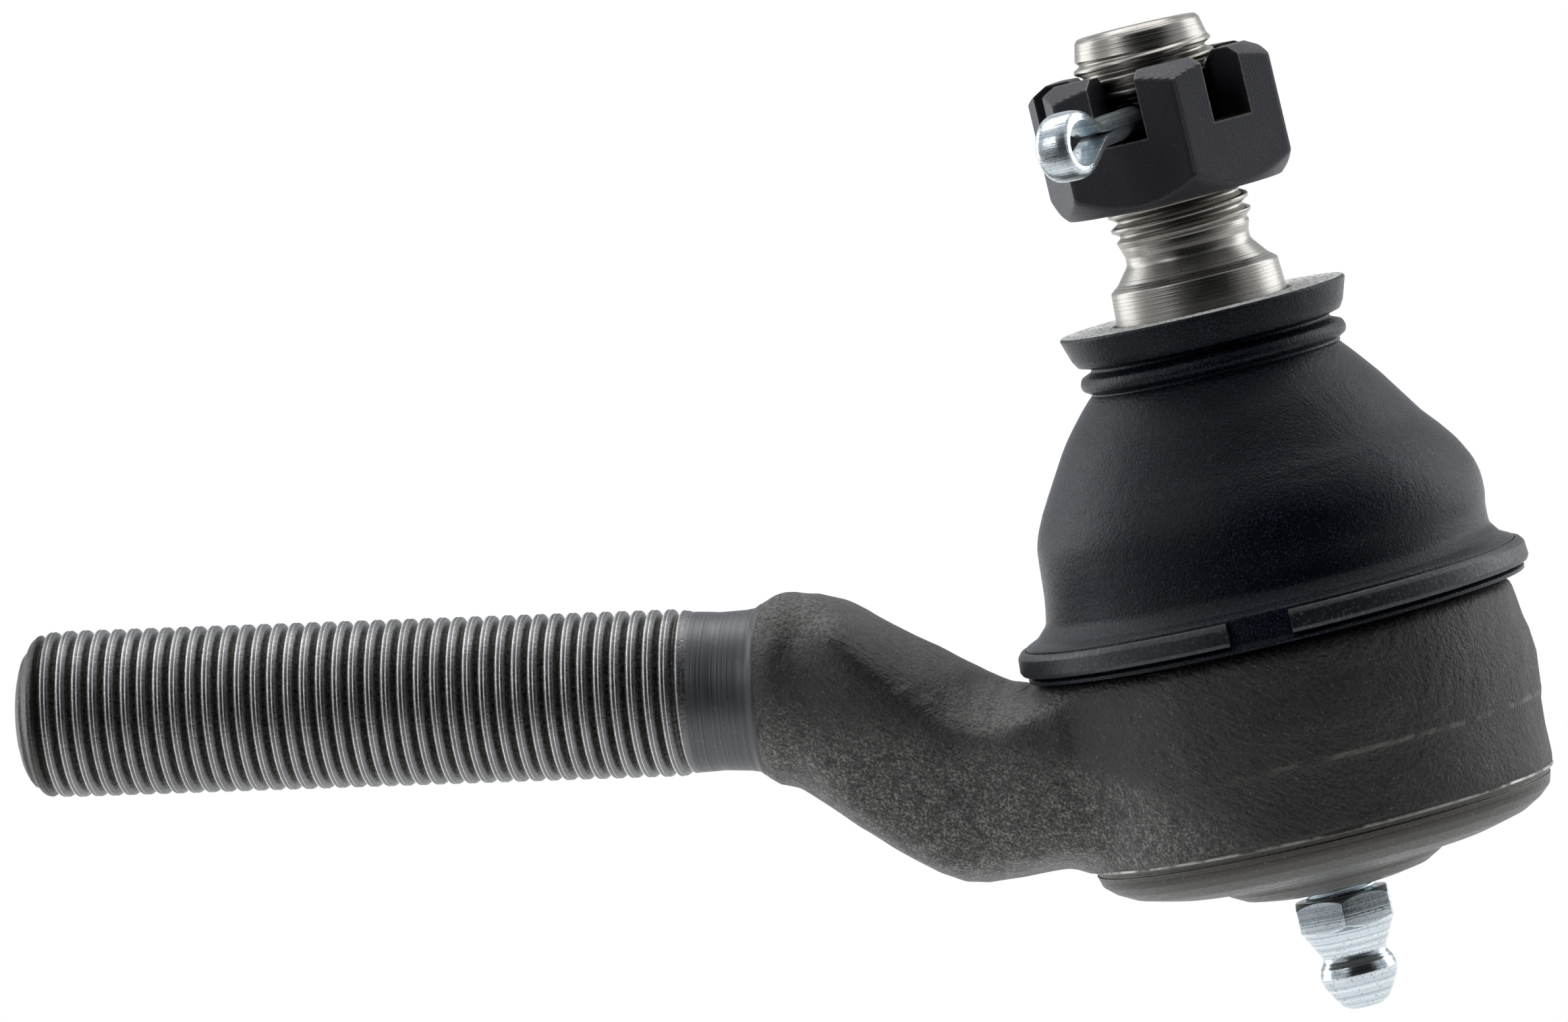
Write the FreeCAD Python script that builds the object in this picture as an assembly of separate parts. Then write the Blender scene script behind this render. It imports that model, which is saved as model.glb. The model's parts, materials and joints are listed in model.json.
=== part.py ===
import FreeCAD, Part
import math
import os

# Greaseable outer tie rod end. Millimetres.
# Origin: centre of the ball. +Z: along the stud, towards its threaded end.
# The threaded shank leaves towards -X, raised by the drop angle in the XZ plane.

V = FreeCAD.Vector
Z_AXIS = V(0, 0, 1)
ORIGIN = V(0, 0, 0)

# ---- ball stud --------------------------------------------------------------
ball_r = 12.7
ball_flat_height = 11.0        # flat under the ball, where the grease pocket is
stud_neck_r = 6.4
neck_flare = 1.0               # the neck leaves the ball this much wider
stud_neck_length = 2.4
stud_shoulder_length = 2.0     # cone from neck to taper
taper_top_z = 34.6             # small end of the seating taper
taper_top_r = 7.2
taper_per_mm = 1.0 / 16.0      # radius per mm of length: a 1 in 8 taper
taper_edge = 0.7
relief_z = 36.8                # thread relief groove
relief_depth = 0.65
relief_half_length = 0.45
thread_start_z = 38.4
stud_thread_r = 6.0            # M12 fine
stud_top_z = 56.1
stud_tip_length = 1.9          # turned-down tip above the last thread
stud_tip_step = 0.6
stud_tip_dish = 0.7
pin_leg_r = 1.3                # two half-round legs make one round shank
pin_hole_clearance = 0.25

# ---- slotted nut and cotter pin ---------------------------------------------
nut_across_flats = 19.05
nut_bottom_z = 41.3
nut_height = 11.55
nut_slot_width = 4.25
nut_slot_depth = 5.8
nut_bottom_chamfer = 0.35      # bearing face inside the flats
nut_top_chamfer = 0.95
nut_top_chamfer_slope = 0.55   # drop per mm of radius
nut_thread_clearance = 0.03
nut_lead_in = 0.6
slot_turn_deg = -10.5          # direction of the slot in use, from -Y towards +X
pin_skew_deg = 3.0             # the pin lies a little askew in its slot
pin_leg_gap = 0.05
pin_eye_outer_r = 3.0
pin_eye_wire = 1.1
pin_leg_stand_out = 3.1        # legs past the far flat of the nut
pin_eye_stand_off = 5.1        # the legs open into the eye this far outside the near flat
pin_eye_length = 3.8           # from that point to the eye's centre
pin_floor_gap = 0.25           # between the pin and the slot's floor

# ---- seats and bore ---------------------------------------------------------
ball_clearance = 0.04
seat_wall = 2.6
seat_clearance = 0.05
mouth_retention = 0.5          # the mouth is this much smaller than the ball, by radius
mouth_below_ball_top = 4.7
mouth_throat_depth = 1.8
mouth_flare = 0.6
bore_shoulder_depth = 2.2      # conical shoulder over the upper seat
seat_edge_depth = 0.8          # the upper seat stops this far under the throat
upper_seat_bottom_z = -0.8
lower_seat_top_z = -1.8
lower_seat_floor = 1.0         # under the ball's flat
lower_seat_hole_r = 4.6
spring_inner_r = 9.2
spring_thickness = 0.7
spring_cone = 0.55
spring_gap = 0.04
spring_edge_gap = 0.6          # between the spring's edge and the bore
seat_chamfer = 0.6

# ---- housing cup ------------------------------------------------------------
cup_wall = 4.71                # bore to forging
parting_bulge = 0.65
parting_z = -3.2
groove_wall = 2.81             # bore to the bottom of the boot groove
groove_height = 3.0
mouth_collar = 0.55            # collar above the groove
mouth_collar_height = 1.3
rim_band_height = 0.7          # machined band above the cover's seat
rim_lip_overhang = 3.8         # spun lip over the cover
rim_lip_thickness = 0.95
rim_corner = 0.9               # height where the band turns into the spun lip
rim_flat = 3.25                # the lip's underside starts this far inside the band
rim_flat_rise = 0.65
cover_seat_depth = 1.8         # radial depth of the step the cover sits on
cover_thickness = 2.2
cover_edge_bevel = 0.3

# ---- drop neck and shank ----------------------------------------------------
drop_deg = 10.5
shank_end = 109.2              # along the shank's axis from the ball's centre
thread_end = 50.7
turned_end = 45.2
shank_thread_r = 7.14          # 9/16-18 UNF
thread_runout = 0.9
turned_step = 0.29             # turned neck below the thread's crests
end_chamfer = 2.0
neck_root_step = 1.4           # round forging where the turned neck starts
neck_root = 42.3
neck_depth = 16.8              # lowest line of the drop neck below the shank's axis
neck_half_width = 9.6
neck_top_drop = 0.4            # the neck's top runs in under the cup's shoulder by this
neck_bottom_rise = 0.1         # and its underside over the rim's band by this

# ---- cover plate and grease fitting -----------------------------------------
cover_dish_r = 11.4
cover_dish_depth = 2.5
cover_boss_r = 9.0
cover_boss_drop = 4.1          # from the cover's seat
cover_boss_tip_r = 6.1
cover_bottom_drop = 5.2
fitting_thread_r = 3.175       # 1/4-28
fitting_reach = 3.4            # into the cup from the cover's underside
fitting_hex_gap = 0.8
fitting_hex_length = 2.9
fitting_hex_af = 7.94
fitting_hex_turn_deg = -21.0   # where the fitting stopped when it was screwed in
fitting_cone_length = 2.2
fitting_waist_r = 2.76
fitting_head_offset = 1.7      # waist to the widest part of the head
fitting_head_r = 3.33
fitting_tip_length = 3.0
fitting_tip_r = 1.75
fitting_bore_r = 1.3
fitting_stake_length = 4.8     # staked end that holds the spring
fitting_stake_r = 0.8
fitting_mouth_r = 0.75
fitting_mouth_depth = 1.2
fitting_seat_depth = 0.8
check_ball_r = 1.1
check_ball_gap = 0.02
check_spring_wire_r = 0.17
check_spring_turns = 6
check_spring_gap = 0.06

# ---- dust boot and its retaining ring ---------------------------------------
boot_fit = 0.06                # clearance where the boot grips steel
boot_skirt_gap = 0.35          # over the cup's shoulder
boot_skirt = 3.3               # skirt beyond the groove
boot_lip = 3.0                 # lip under the retaining ring
boot_lip_height = 2.9
boot_wall = 1.0                # upright wall beyond the groove
boot_wall_thickness = 1.9
boot_wall_height = 4.5         # upright wall above the mouth
boot_dome_height = 14.0
boot_waist_r = 10.75
boot_waist_thickness = 2.3
collar_bead = 0.75
collar_bead_height = 2.1
collar_groove = 0.4
collar_flange = 1.6
collar_flange_taper = 0.9      # the flange is this much narrower at its foot
collar_height = 5.3
collar_clearance = 0.08
ring_lift = 0.7                # over the skirt
ring_height = 2.0
ring_width = 1.0
ring_clearance = 0.03
ring_gap = 5.5
ring_gap_deg = 5.0             # from -Y towards +X

# ---- places that follow from the sizes above --------------------------------
ball_flat_z = -ball_flat_height
stud_neck_bottom_z = math.sqrt(ball_r ** 2 - (stud_neck_r + neck_flare) ** 2) + 1.7
stud_neck_top_z = stud_neck_bottom_z + stud_neck_length
taper_bottom_z = stud_neck_top_z + stud_shoulder_length
relief_r = stud_thread_r - relief_depth
stud_tip_r = stud_thread_r - stud_tip_step
nut_top_z = nut_bottom_z + nut_height
nut_corner_r = nut_across_flats / 2 / math.cos(math.radians(30))
nut_bore_r = stud_thread_r + nut_thread_clearance
pin_hole_r = pin_leg_r + pin_hole_clearance
pin_hole_z = nut_top_z - nut_slot_depth + pin_leg_r + pin_floor_gap
pin_eye_neck = nut_across_flats / 2 + pin_eye_stand_off
pin_eye_centre = pin_eye_neck + pin_eye_length
pin_leg_reach = nut_across_flats / 2 + pin_leg_stand_out

bore_r = ball_r + ball_clearance + seat_wall + seat_clearance
cup_r = bore_r + cup_wall
cup_land_r = cup_r + parting_bulge
groove_r = bore_r + groove_wall
mouth_collar_r = groove_r + mouth_collar
mouth_z = ball_r - mouth_below_ball_top
mouth_throat_z = mouth_z - mouth_throat_depth
mouth_r = ball_r - mouth_retention
bore_top_z = mouth_throat_z - bore_shoulder_depth
upper_seat_top_z = mouth_throat_z - seat_edge_depth
groove_top_z = mouth_z - mouth_collar_height
cup_shoulder_z = groove_top_z - groove_height
lower_seat_bottom_z = ball_flat_z - lower_seat_floor
spring_stack = spring_gap + spring_thickness + spring_cone + spring_gap
cover_seat_z = lower_seat_bottom_z - spring_stack
cover_edge_z = cover_seat_z - cover_thickness
cover_edge_r = bore_r + cover_seat_depth
rim_top_z = cover_seat_z + rim_band_height
rim_bottom_z = cover_edge_z - rim_lip_thickness - seat_clearance
rim_r = cup_r - 0.25
rim_lip_r = cover_edge_r - rim_lip_overhang
cover_bottom_z = cover_seat_z - cover_bottom_drop
cover_boss_z = cover_seat_z - cover_boss_drop
turned_r = shank_thread_r - turned_step
neck_root_r = turned_r + neck_root_step

fitting_inner_z = cover_bottom_z + fitting_reach
fitting_hex_top_z = cover_bottom_z - fitting_hex_gap
fitting_hex_bottom_z = fitting_hex_top_z - fitting_hex_length
fitting_waist_z = fitting_hex_bottom_z - fitting_cone_length
fitting_head_z = fitting_waist_z - fitting_head_offset
fitting_tip_z = fitting_head_z - fitting_tip_length
fitting_stake_z = fitting_inner_z - fitting_stake_length
check_spring_r = fitting_bore_r - check_spring_wire_r - 0.18

boot_skirt_z = cup_shoulder_z + boot_skirt_gap
boot_skirt_r = groove_r + boot_skirt
boot_lip_r = groove_r + boot_lip
boot_lip_top_z = boot_skirt_z + boot_lip_height
boot_wall_r = groove_r + boot_wall
boot_wall_top_z = mouth_z + boot_wall_height
boot_waist_z = boot_wall_top_z + boot_dome_height
collar_top_z = boot_waist_z + collar_height
ring_bottom_z = boot_skirt_z + ring_lift
ring_top_z = ring_bottom_z + ring_height
ring_r = boot_lip_r + ring_width


def arc_through(a, b, c):
    return Part.Arc(a, b, c).toShape()


def revolve_outline(points):
    """A solid of revolution about Z from a closed (radius, height) outline.

    A side given as ("arc", middle, end) is an arc, and ("curve", middle, end) a gentle curve
    through its middle.
    """
    edges = []
    here = V(points[0][0], 0, points[0][1])
    for point in list(points[1:]) + [points[0]]:
        if point[0] in ("arc", "curve"):
            middle = V(point[1][0], 0, point[1][1])
            there = V(point[2][0], 0, point[2][1])
            if point[0] == "arc":
                edges.append(arc_through(here, middle, there))
            else:
                gentle = Part.BSplineCurve()
                gentle.interpolate(Points=[here, middle, there])
                edges.append(gentle.toShape())
        else:
            there = V(point[0], 0, point[1])
            if (there - here).Length > 1e-7:
                edges.append(Part.LineSegment(here, there).toShape())
        here = there
    face = Part.Face(Part.Wire(edges))
    return face.revolve(ORIGIN, Z_AXIS, 360)


def on_circle(radius, height):
    """Radius of a sphere about the origin at a height."""
    return math.sqrt(radius * radius - height * height)


def prism_hex(across_flats, bottom, top, flat_deg):
    """A hexagonal prism with one flat facing flat_deg, measured from -Y towards +X."""
    corner_r = across_flats / 2 / math.cos(math.radians(30))
    corners = []
    for i in range(7):
        turn = math.radians(flat_deg + 30 + 60 * i)
        corners.append(V(corner_r * math.sin(turn), -corner_r * math.cos(turn), bottom))
    return Part.Face(Part.makePolygon(corners)).extrude(V(0, 0, top - bottom))


def taper_radius(z):
    return taper_top_r + (taper_top_z - z) * taper_per_mm


def pin_direction():
    turn = math.radians(slot_turn_deg - pin_skew_deg)
    return V(math.sin(turn), -math.cos(turn), 0)


# ---- the moving stud --------------------------------------------------------
def ball_stud():
    flat_r = on_circle(ball_r, ball_flat_z)
    leave_r = stud_neck_r + neck_flare
    outline = [
        (0, ball_flat_z),
        (flat_r, ball_flat_z),
        ("arc", (ball_r, 0), (leave_r, on_circle(ball_r, leave_r))),
        (stud_neck_r, stud_neck_bottom_z),
        (stud_neck_r, stud_neck_top_z),
        (taper_radius(taper_bottom_z), taper_bottom_z),
        (taper_top_r, taper_top_z),
        (taper_top_r - taper_edge, taper_top_z + 0.5),
        (relief_r, relief_z - relief_half_length),
        (relief_r, relief_z + relief_half_length),
        (stud_thread_r, thread_start_z),
        (stud_thread_r, stud_top_z - stud_tip_length),
        (stud_tip_r, stud_top_z - stud_tip_length + 0.3),
        (stud_tip_r, stud_top_z),
        (stud_tip_r - 0.8, stud_top_z),
        (0, stud_top_z - stud_tip_dish),
    ]
    hole_start = pin_direction() * (-2 * stud_thread_r) + V(0, 0, pin_hole_z)
    hole = Part.makeCylinder(pin_hole_r, 4 * stud_thread_r, hole_start, pin_direction())
    return revolve_outline(outline).cut(hole)


def slotted_nut():
    outside_r = nut_corner_r + 1
    bottom_r = nut_across_flats / 2 - nut_bottom_chamfer
    top_r = nut_across_flats / 2 - nut_top_chamfer
    body = prism_hex(nut_across_flats, nut_bottom_z, nut_top_z, slot_turn_deg)
    chamfers = revolve_outline([
        (0, nut_bottom_z),
        (bottom_r, nut_bottom_z),
        (outside_r, nut_bottom_z + outside_r - bottom_r),
        (outside_r, nut_top_z - (outside_r - top_r) * nut_top_chamfer_slope),
        (top_r, nut_top_z),
        (0, nut_top_z),
    ])
    body = body.common(chamfers)
    body = body.cut(Part.makeCylinder(nut_bore_r, nut_height + 2, V(0, 0, nut_bottom_z - 1)))
    for cone_z, cone_dir in ((nut_bottom_z, V(0, 0, 1)), (nut_top_z, V(0, 0, -1))):
        lead_in = Part.makeCone(nut_bore_r + nut_lead_in, nut_bore_r, nut_lead_in, V(0, 0, cone_z), cone_dir)
        body = body.cut(lead_in)
    slot = Part.makeBox(2 * outside_r, nut_slot_width, nut_slot_depth + 1)
    slot.translate(V(-outside_r, -nut_slot_width / 2, nut_top_z - nut_slot_depth))
    for i in range(3):
        cutter = slot.copy()
        cutter.rotate(ORIGIN, Z_AXIS, slot_turn_deg + 90 + 60 * i)
        body = body.cut(cutter)
    return body


def cotter_pin():
    """Half-round wire folded on itself.

    Built along +X in the XZ plane, with the eye outward, then turned to its place in the slot.
    """
    flat = pin_leg_gap / 2
    legs = []
    for sign in (1, -1):
        leg = Part.makeCylinder(pin_leg_r, pin_eye_neck + pin_leg_reach, V(-pin_leg_reach, 0, 0), V(1, 0, 0))
        keep = Part.makeBox(pin_eye_neck + pin_leg_reach + 2, 2 * pin_leg_r + 1, pin_leg_r + 1)
        keep.translate(V(-pin_leg_reach - 1, -pin_leg_r - 0.5, flat if sign > 0 else -pin_leg_r - 1 - flat))
        legs.append(leg.common(keep))
    inner_r = pin_eye_outer_r - pin_eye_wire
    # the eye: a drop-shaped loop, round outside and pointed where the legs part
    reach = pin_eye_centre - pin_eye_neck
    touch = math.acos(inner_r / reach)
    tangent_in = V(-inner_r * math.cos(touch), 0, inner_r * math.sin(touch))
    outer_touch = V(-pin_eye_outer_r * math.cos(touch), 0, pin_eye_outer_r * math.sin(touch))
    centre = V(pin_eye_centre, 0, 0)

    def drop(point, radius, tip):
        upper = centre + point
        lower = centre + V(point.x, 0, -point.z)
        return Part.Face(Part.Wire([
            Part.LineSegment(tip, upper).toShape(),
            arc_through(upper, centre + V(radius, 0, 0), lower),
            Part.LineSegment(lower, tip).toShape(),
        ]))

    inner_tip = V(pin_eye_neck, 0, 0)
    outer_tip = V(pin_eye_centre - pin_eye_outer_r / math.cos(touch), 0, 0)
    width = 2 * pin_leg_r
    outer = drop(outer_touch, pin_eye_outer_r, outer_tip).extrude(V(0, width, 0))
    inner = drop(tangent_in, inner_r, inner_tip).extrude(V(0, width, 0))
    eye = outer.cut(inner)
    eye.translate(V(0, -pin_leg_r, 0))
    shank_clear = Part.makeBox(pin_eye_neck - 1.6 + 20, width + 2, 20)
    shank_clear.translate(V(-20, -pin_leg_r - 1, -10))
    eye = eye.cut(shank_clear)
    pin = eye.fuse(legs[0]).fuse(legs[1]).removeSplitter()
    # the long axis of the pin was +X; its direction is measured from -Y towards +X
    pin.rotate(ORIGIN, Z_AXIS, slot_turn_deg - pin_skew_deg - 90)
    pin.translate(V(0, 0, pin_hole_z))
    return pin


# ---- the housing ------------------------------------------------------------
def along_shank(distance, offset):
    """A point in the XZ plane at a distance along the shank's axis and an offset towards the stud side."""
    drop = math.radians(drop_deg)
    x = -distance * math.cos(drop) + offset * math.sin(drop)
    z = distance * math.sin(drop) + offset * math.cos(drop)
    return V(x, 0, z)


def shank_direction():
    drop = math.radians(drop_deg)
    return V(-math.cos(drop), 0, math.sin(drop))


def section_wire(distance, top, bottom, half_width, squareness):
    """A rounded section square to the shank's axis, as a closed curve through points on a superellipse."""
    centre = along_shank(distance, (top + bottom) / 2)
    up = along_shank(0, 1)
    half_height = (top - bottom) / 2
    points = []
    count = 24
    for i in range(count):
        turn = 2 * math.pi * i / count
        c, s = math.cos(turn), math.sin(turn)
        y = half_width * math.copysign(abs(c) ** (2 / squareness), c)
        h = half_height * math.copysign(abs(s) ** (2 / squareness), s)
        points.append(centre + V(0, y, 0) + up * h)
    curve = Part.BSplineCurve()
    curve.interpolate(Points=points, PeriodicFlag=True)
    return Part.Wire(curve.toShape())


def drop_neck():
    """The forged neck between cup and shank: round at the shank, deep and flared at the cup."""
    middle = (neck_root + cup_r) / 2
    low = -neck_depth
    inside = cup_r - 4.0
    top_z = cup_shoulder_z - neck_top_drop
    bottom_z = rim_top_z + neck_bottom_rise

    def level(distance, z):
        """Offset from the shank's axis of a height z."""
        drop = math.radians(drop_deg)
        return (z - distance * math.sin(drop)) / math.cos(drop)

    sections = [
        (turned_end + 0.4, turned_r - 0.8, -turned_r + 0.8, turned_r - 0.8, 2.0),
        (turned_end - 1.0, turned_r + 0.5, -turned_r - 0.5, turned_r + 0.5, 2.0),
        (neck_root, neck_root_r, -neck_root_r, neck_root_r, 2.05),
        (neck_root - 2.6, neck_root_r * 0.98, -neck_root_r * 1.17, neck_root_r * 1.02, 2.2),
        (middle + 3.6, neck_root_r * 0.78, low * 0.77, neck_half_width * 0.93, 2.4),
        (middle, neck_root_r * 0.47, low * 0.91, neck_half_width, 2.6),
        (middle - 4.2, neck_root_r * 0.15, low, neck_half_width * 1.06, 2.8),
        (cup_r + 1.6, level(cup_r + 1.6, top_z), level(cup_r + 1.6, bottom_z), neck_half_width * 1.2, 3.0),
        (inside, level(inside, top_z), level(inside, bottom_z), neck_half_width * 1.34, 3.0),
        (inside - 4, level(inside - 4, top_z), level(inside - 4, bottom_z), neck_half_width * 1.38, 3.0),
    ]
    return Part.makeLoft([section_wire(*s) for s in sections], True, False)


def cup_outside():
    side_z = (rim_top_z + parting_z) / 2
    top_side_z = (parting_z + cup_shoulder_z) / 2
    rim_corner_z = rim_top_z - rim_corner
    return revolve_outline([
        (0, rim_bottom_z),
        (rim_lip_r, rim_bottom_z),
        (rim_r - rim_flat, rim_bottom_z + rim_flat_rise),
        ("arc", (rim_r - 1.1, (2 * rim_corner_z + rim_bottom_z) / 3 - 0.4), (rim_r, rim_corner_z)),
        (rim_r, rim_top_z),
        (cup_r, rim_top_z + 0.2),
        ("curve", (cup_r + parting_bulge / 2 + 0.05, side_z), (cup_land_r, parting_z)),
        ("curve", (cup_r + 0.2, top_side_z), (cup_r - 0.15, cup_shoulder_z - 0.5)),
        (cup_r - 0.7, cup_shoulder_z),
        (groove_r, cup_shoulder_z),
        (groove_r, groove_top_z),
        (mouth_collar_r, groove_top_z + 0.3),
        (mouth_collar_r, mouth_z - 0.4),
        (mouth_collar_r - 0.4, mouth_z),
        (0, mouth_z),
    ])


def cup_inside():
    """Everything cut out of the cup: mouth, bore, and the step and undercut that hold the cover plate."""
    return revolve_outline([
        (0, rim_bottom_z - 1),
        (rim_lip_r, rim_bottom_z - 1),
        (rim_lip_r, cover_edge_z - seat_clearance),
        (cover_edge_r, cover_edge_z - seat_clearance),
        (cover_edge_r, cover_seat_z),
        (bore_r, cover_seat_z),
        (bore_r, bore_top_z),
        (mouth_r, mouth_throat_z),
        (mouth_r + mouth_flare, mouth_z),
        (mouth_r + mouth_flare, mouth_z + 1),
        (0, mouth_z + 1),
    ])


def shank():
    start = along_shank(turned_end - 3, 0)
    direction = shank_direction()
    turned = Part.makeCylinder(turned_r, thread_end - turned_end + 3.5, start, direction)
    runout = Part.makeCone(
        turned_r - 0.3, shank_thread_r, thread_runout, along_shank(thread_end, 0), direction
    )
    first = along_shank(thread_end + thread_runout, 0)
    thread_length = shank_end - end_chamfer - thread_end - thread_runout
    threaded = Part.makeCylinder(shank_thread_r, thread_length, first, direction)
    tip_start = along_shank(shank_end - end_chamfer, 0)
    tip = Part.makeCone(shank_thread_r, shank_thread_r - end_chamfer, end_chamfer, tip_start, direction)
    return turned.fuse(runout).fuse(threaded).fuse(tip)


def housing():
    outside = cup_outside().fuse(drop_neck()).fuse(shank())
    return outside.cut(cup_inside())


# ---- inside the cup ---------------------------------------------------------
def upper_bearing_seat():
    outer_r = bore_r - seat_clearance
    sphere_r = ball_r + ball_clearance
    slope = (mouth_throat_z - bore_top_z) / (bore_r - mouth_r)
    cone_z = bore_top_z - seat_clearance
    top_r = outer_r - (upper_seat_top_z - cone_z) / slope
    return revolve_outline([
        (on_circle(sphere_r, upper_seat_bottom_z), upper_seat_bottom_z),
        (outer_r, upper_seat_bottom_z),
        (outer_r, cone_z),
        (top_r, upper_seat_top_z),
        (on_circle(sphere_r, upper_seat_top_z), upper_seat_top_z),
        ("arc", (on_circle(sphere_r, 2.0), 2.0),
         (on_circle(sphere_r, upper_seat_bottom_z), upper_seat_bottom_z)),
    ])


def lower_bearing_seat():
    outer_r = bore_r - seat_clearance
    sphere_r = ball_r + ball_clearance
    hole_z = -math.sqrt(sphere_r ** 2 - lower_seat_hole_r ** 2)
    inner_z = max(hole_z, lower_seat_bottom_z + 0.1)
    inner_r = on_circle(sphere_r, inner_z)
    return revolve_outline([
        (inner_r, lower_seat_bottom_z),
        (outer_r - seat_chamfer, lower_seat_bottom_z),
        (outer_r, lower_seat_bottom_z + seat_chamfer),
        (outer_r, lower_seat_top_z),
        (on_circle(sphere_r, lower_seat_top_z), lower_seat_top_z),
        ("arc", (on_circle(sphere_r, -8.0), -8.0), (inner_r, inner_z)),
    ])


def preload_spring():
    """A conical disc spring between the cover plate and the lower seat."""
    top = lower_seat_bottom_z - spring_gap
    outer_r = bore_r - spring_edge_gap
    return revolve_outline([
        (spring_inner_r, top),
        (spring_inner_r, top - spring_thickness),
        (outer_r, top - spring_thickness - spring_cone),
        (outer_r, top - spring_cone),
    ])


def cover_plate():
    dish_z = cover_seat_z - cover_dish_depth
    edge_r = cover_edge_r - seat_clearance
    body = revolve_outline([
        (0, dish_z),
        (cover_dish_r - cover_dish_depth, dish_z),
        (cover_dish_r, cover_seat_z),
        (edge_r, cover_seat_z),
        (edge_r, cover_edge_z + cover_edge_bevel),
        (edge_r - cover_edge_bevel, cover_edge_z),
        (rim_lip_r - 0.2, cover_edge_z),
        (rim_lip_r - 0.6, cover_edge_z - 0.45),
        (cover_boss_r + 2.0, cover_boss_z + 0.5),
        (cover_boss_r, cover_boss_z),
        ("arc", (cover_boss_r - 1.1, cover_boss_z - 0.55), (cover_boss_tip_r, cover_bottom_z)),
        (0, cover_bottom_z),
    ])
    hole = Part.makeCylinder(fitting_thread_r + nut_thread_clearance, 20, V(0, 0, cover_bottom_z - 1))
    return body.cut(hole)


def check_ball_z():
    """Height of the check ball's centre when it rests on its conical seat."""
    slope_r = fitting_bore_r - fitting_mouth_r
    length = math.hypot(slope_r, fitting_seat_depth)
    reach = (check_ball_r + check_ball_gap) * length
    return fitting_tip_z + fitting_mouth_depth + (reach - fitting_mouth_r * fitting_seat_depth) / slope_r


def grease_fitting_body():
    neck_r = fitting_waist_r + 1.3
    outside = revolve_outline([
        (0, fitting_inner_z),
        (fitting_thread_r - 0.4, fitting_inner_z),
        (fitting_thread_r, fitting_inner_z - 0.5),
        (fitting_thread_r, fitting_hex_top_z),
        (neck_r, fitting_hex_top_z),
        (neck_r, fitting_hex_bottom_z),
        (fitting_waist_r, fitting_waist_z + 0.5),
        ("arc", (fitting_waist_r - 0.05, fitting_waist_z), (fitting_waist_r, fitting_waist_z - 0.3)),
        ("arc", (fitting_head_r - 0.12, fitting_head_z + 0.7), (fitting_head_r, fitting_head_z)),
        ("arc", (fitting_head_r - 0.38, fitting_head_z - 1.0), (fitting_head_r - 0.93, fitting_head_z - 2.1)),
        (fitting_tip_r, fitting_tip_z),
        (0, fitting_tip_z),
    ])
    hexagon = prism_hex(fitting_hex_af, fitting_hex_bottom_z, fitting_hex_top_z, fitting_hex_turn_deg)
    corner_r = fitting_hex_af / 2 / math.cos(math.radians(30))
    trim = revolve_outline([
        (0, fitting_hex_bottom_z),
        (fitting_hex_af / 2 - 0.15, fitting_hex_bottom_z),
        (corner_r + 0.1, fitting_hex_bottom_z + 0.45),
        (corner_r + 0.1, fitting_hex_top_z - 0.45),
        (fitting_hex_af / 2 - 0.15, fitting_hex_top_z),
        (0, fitting_hex_top_z),
    ])
    passage = revolve_outline([
        (0, fitting_inner_z + 1),
        (fitting_stake_r, fitting_inner_z + 1),
        (fitting_stake_r, fitting_stake_z),
        (fitting_bore_r, fitting_stake_z),
        (fitting_bore_r, fitting_tip_z + fitting_mouth_depth + fitting_seat_depth),
        (fitting_mouth_r, fitting_tip_z + fitting_mouth_depth),
        (fitting_mouth_r, fitting_tip_z - 1),
        (0, fitting_tip_z - 1),
    ])
    return outside.fuse(hexagon.common(trim)).cut(passage)


def fitting_check_ball():
    return Part.makeSphere(check_ball_r, V(0, 0, check_ball_z()))


def fitting_spring():
    """The small coil spring that holds the check ball on its seat."""
    bottom = check_ball_z() + check_ball_r + check_spring_gap + check_spring_wire_r
    top = fitting_stake_z - check_spring_gap - check_spring_wire_r
    helix = Part.makeHelix((top - bottom) / check_spring_turns, top - bottom, check_spring_r)
    helix.translate(V(0, 0, bottom))
    start = V(check_spring_r, 0, bottom)
    rise = (top - bottom) / check_spring_turns / (2 * math.pi)
    profile = Part.Wire(Part.makeCircle(check_spring_wire_r, start, V(0, check_spring_r, rise)))
    return Part.Wire(helix.Edges).makePipeShell([profile], True, True)


# ---- the boot ---------------------------------------------------------------
def spline_edge(points):
    curve = Part.BSplineCurve()
    curve.interpolate(Points=[V(r, 0, z) for r, z in points])
    return curve.toShape()


def dome_curve(low, high, shares):
    """Points from the top of the wall to the waist.

    Each share is (part of the way in, part of the way up).
    """
    return [(low[0] + (high[0] - low[0]) * a, low[1] + (high[1] - low[1]) * b) for a, b in shares]


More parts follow.
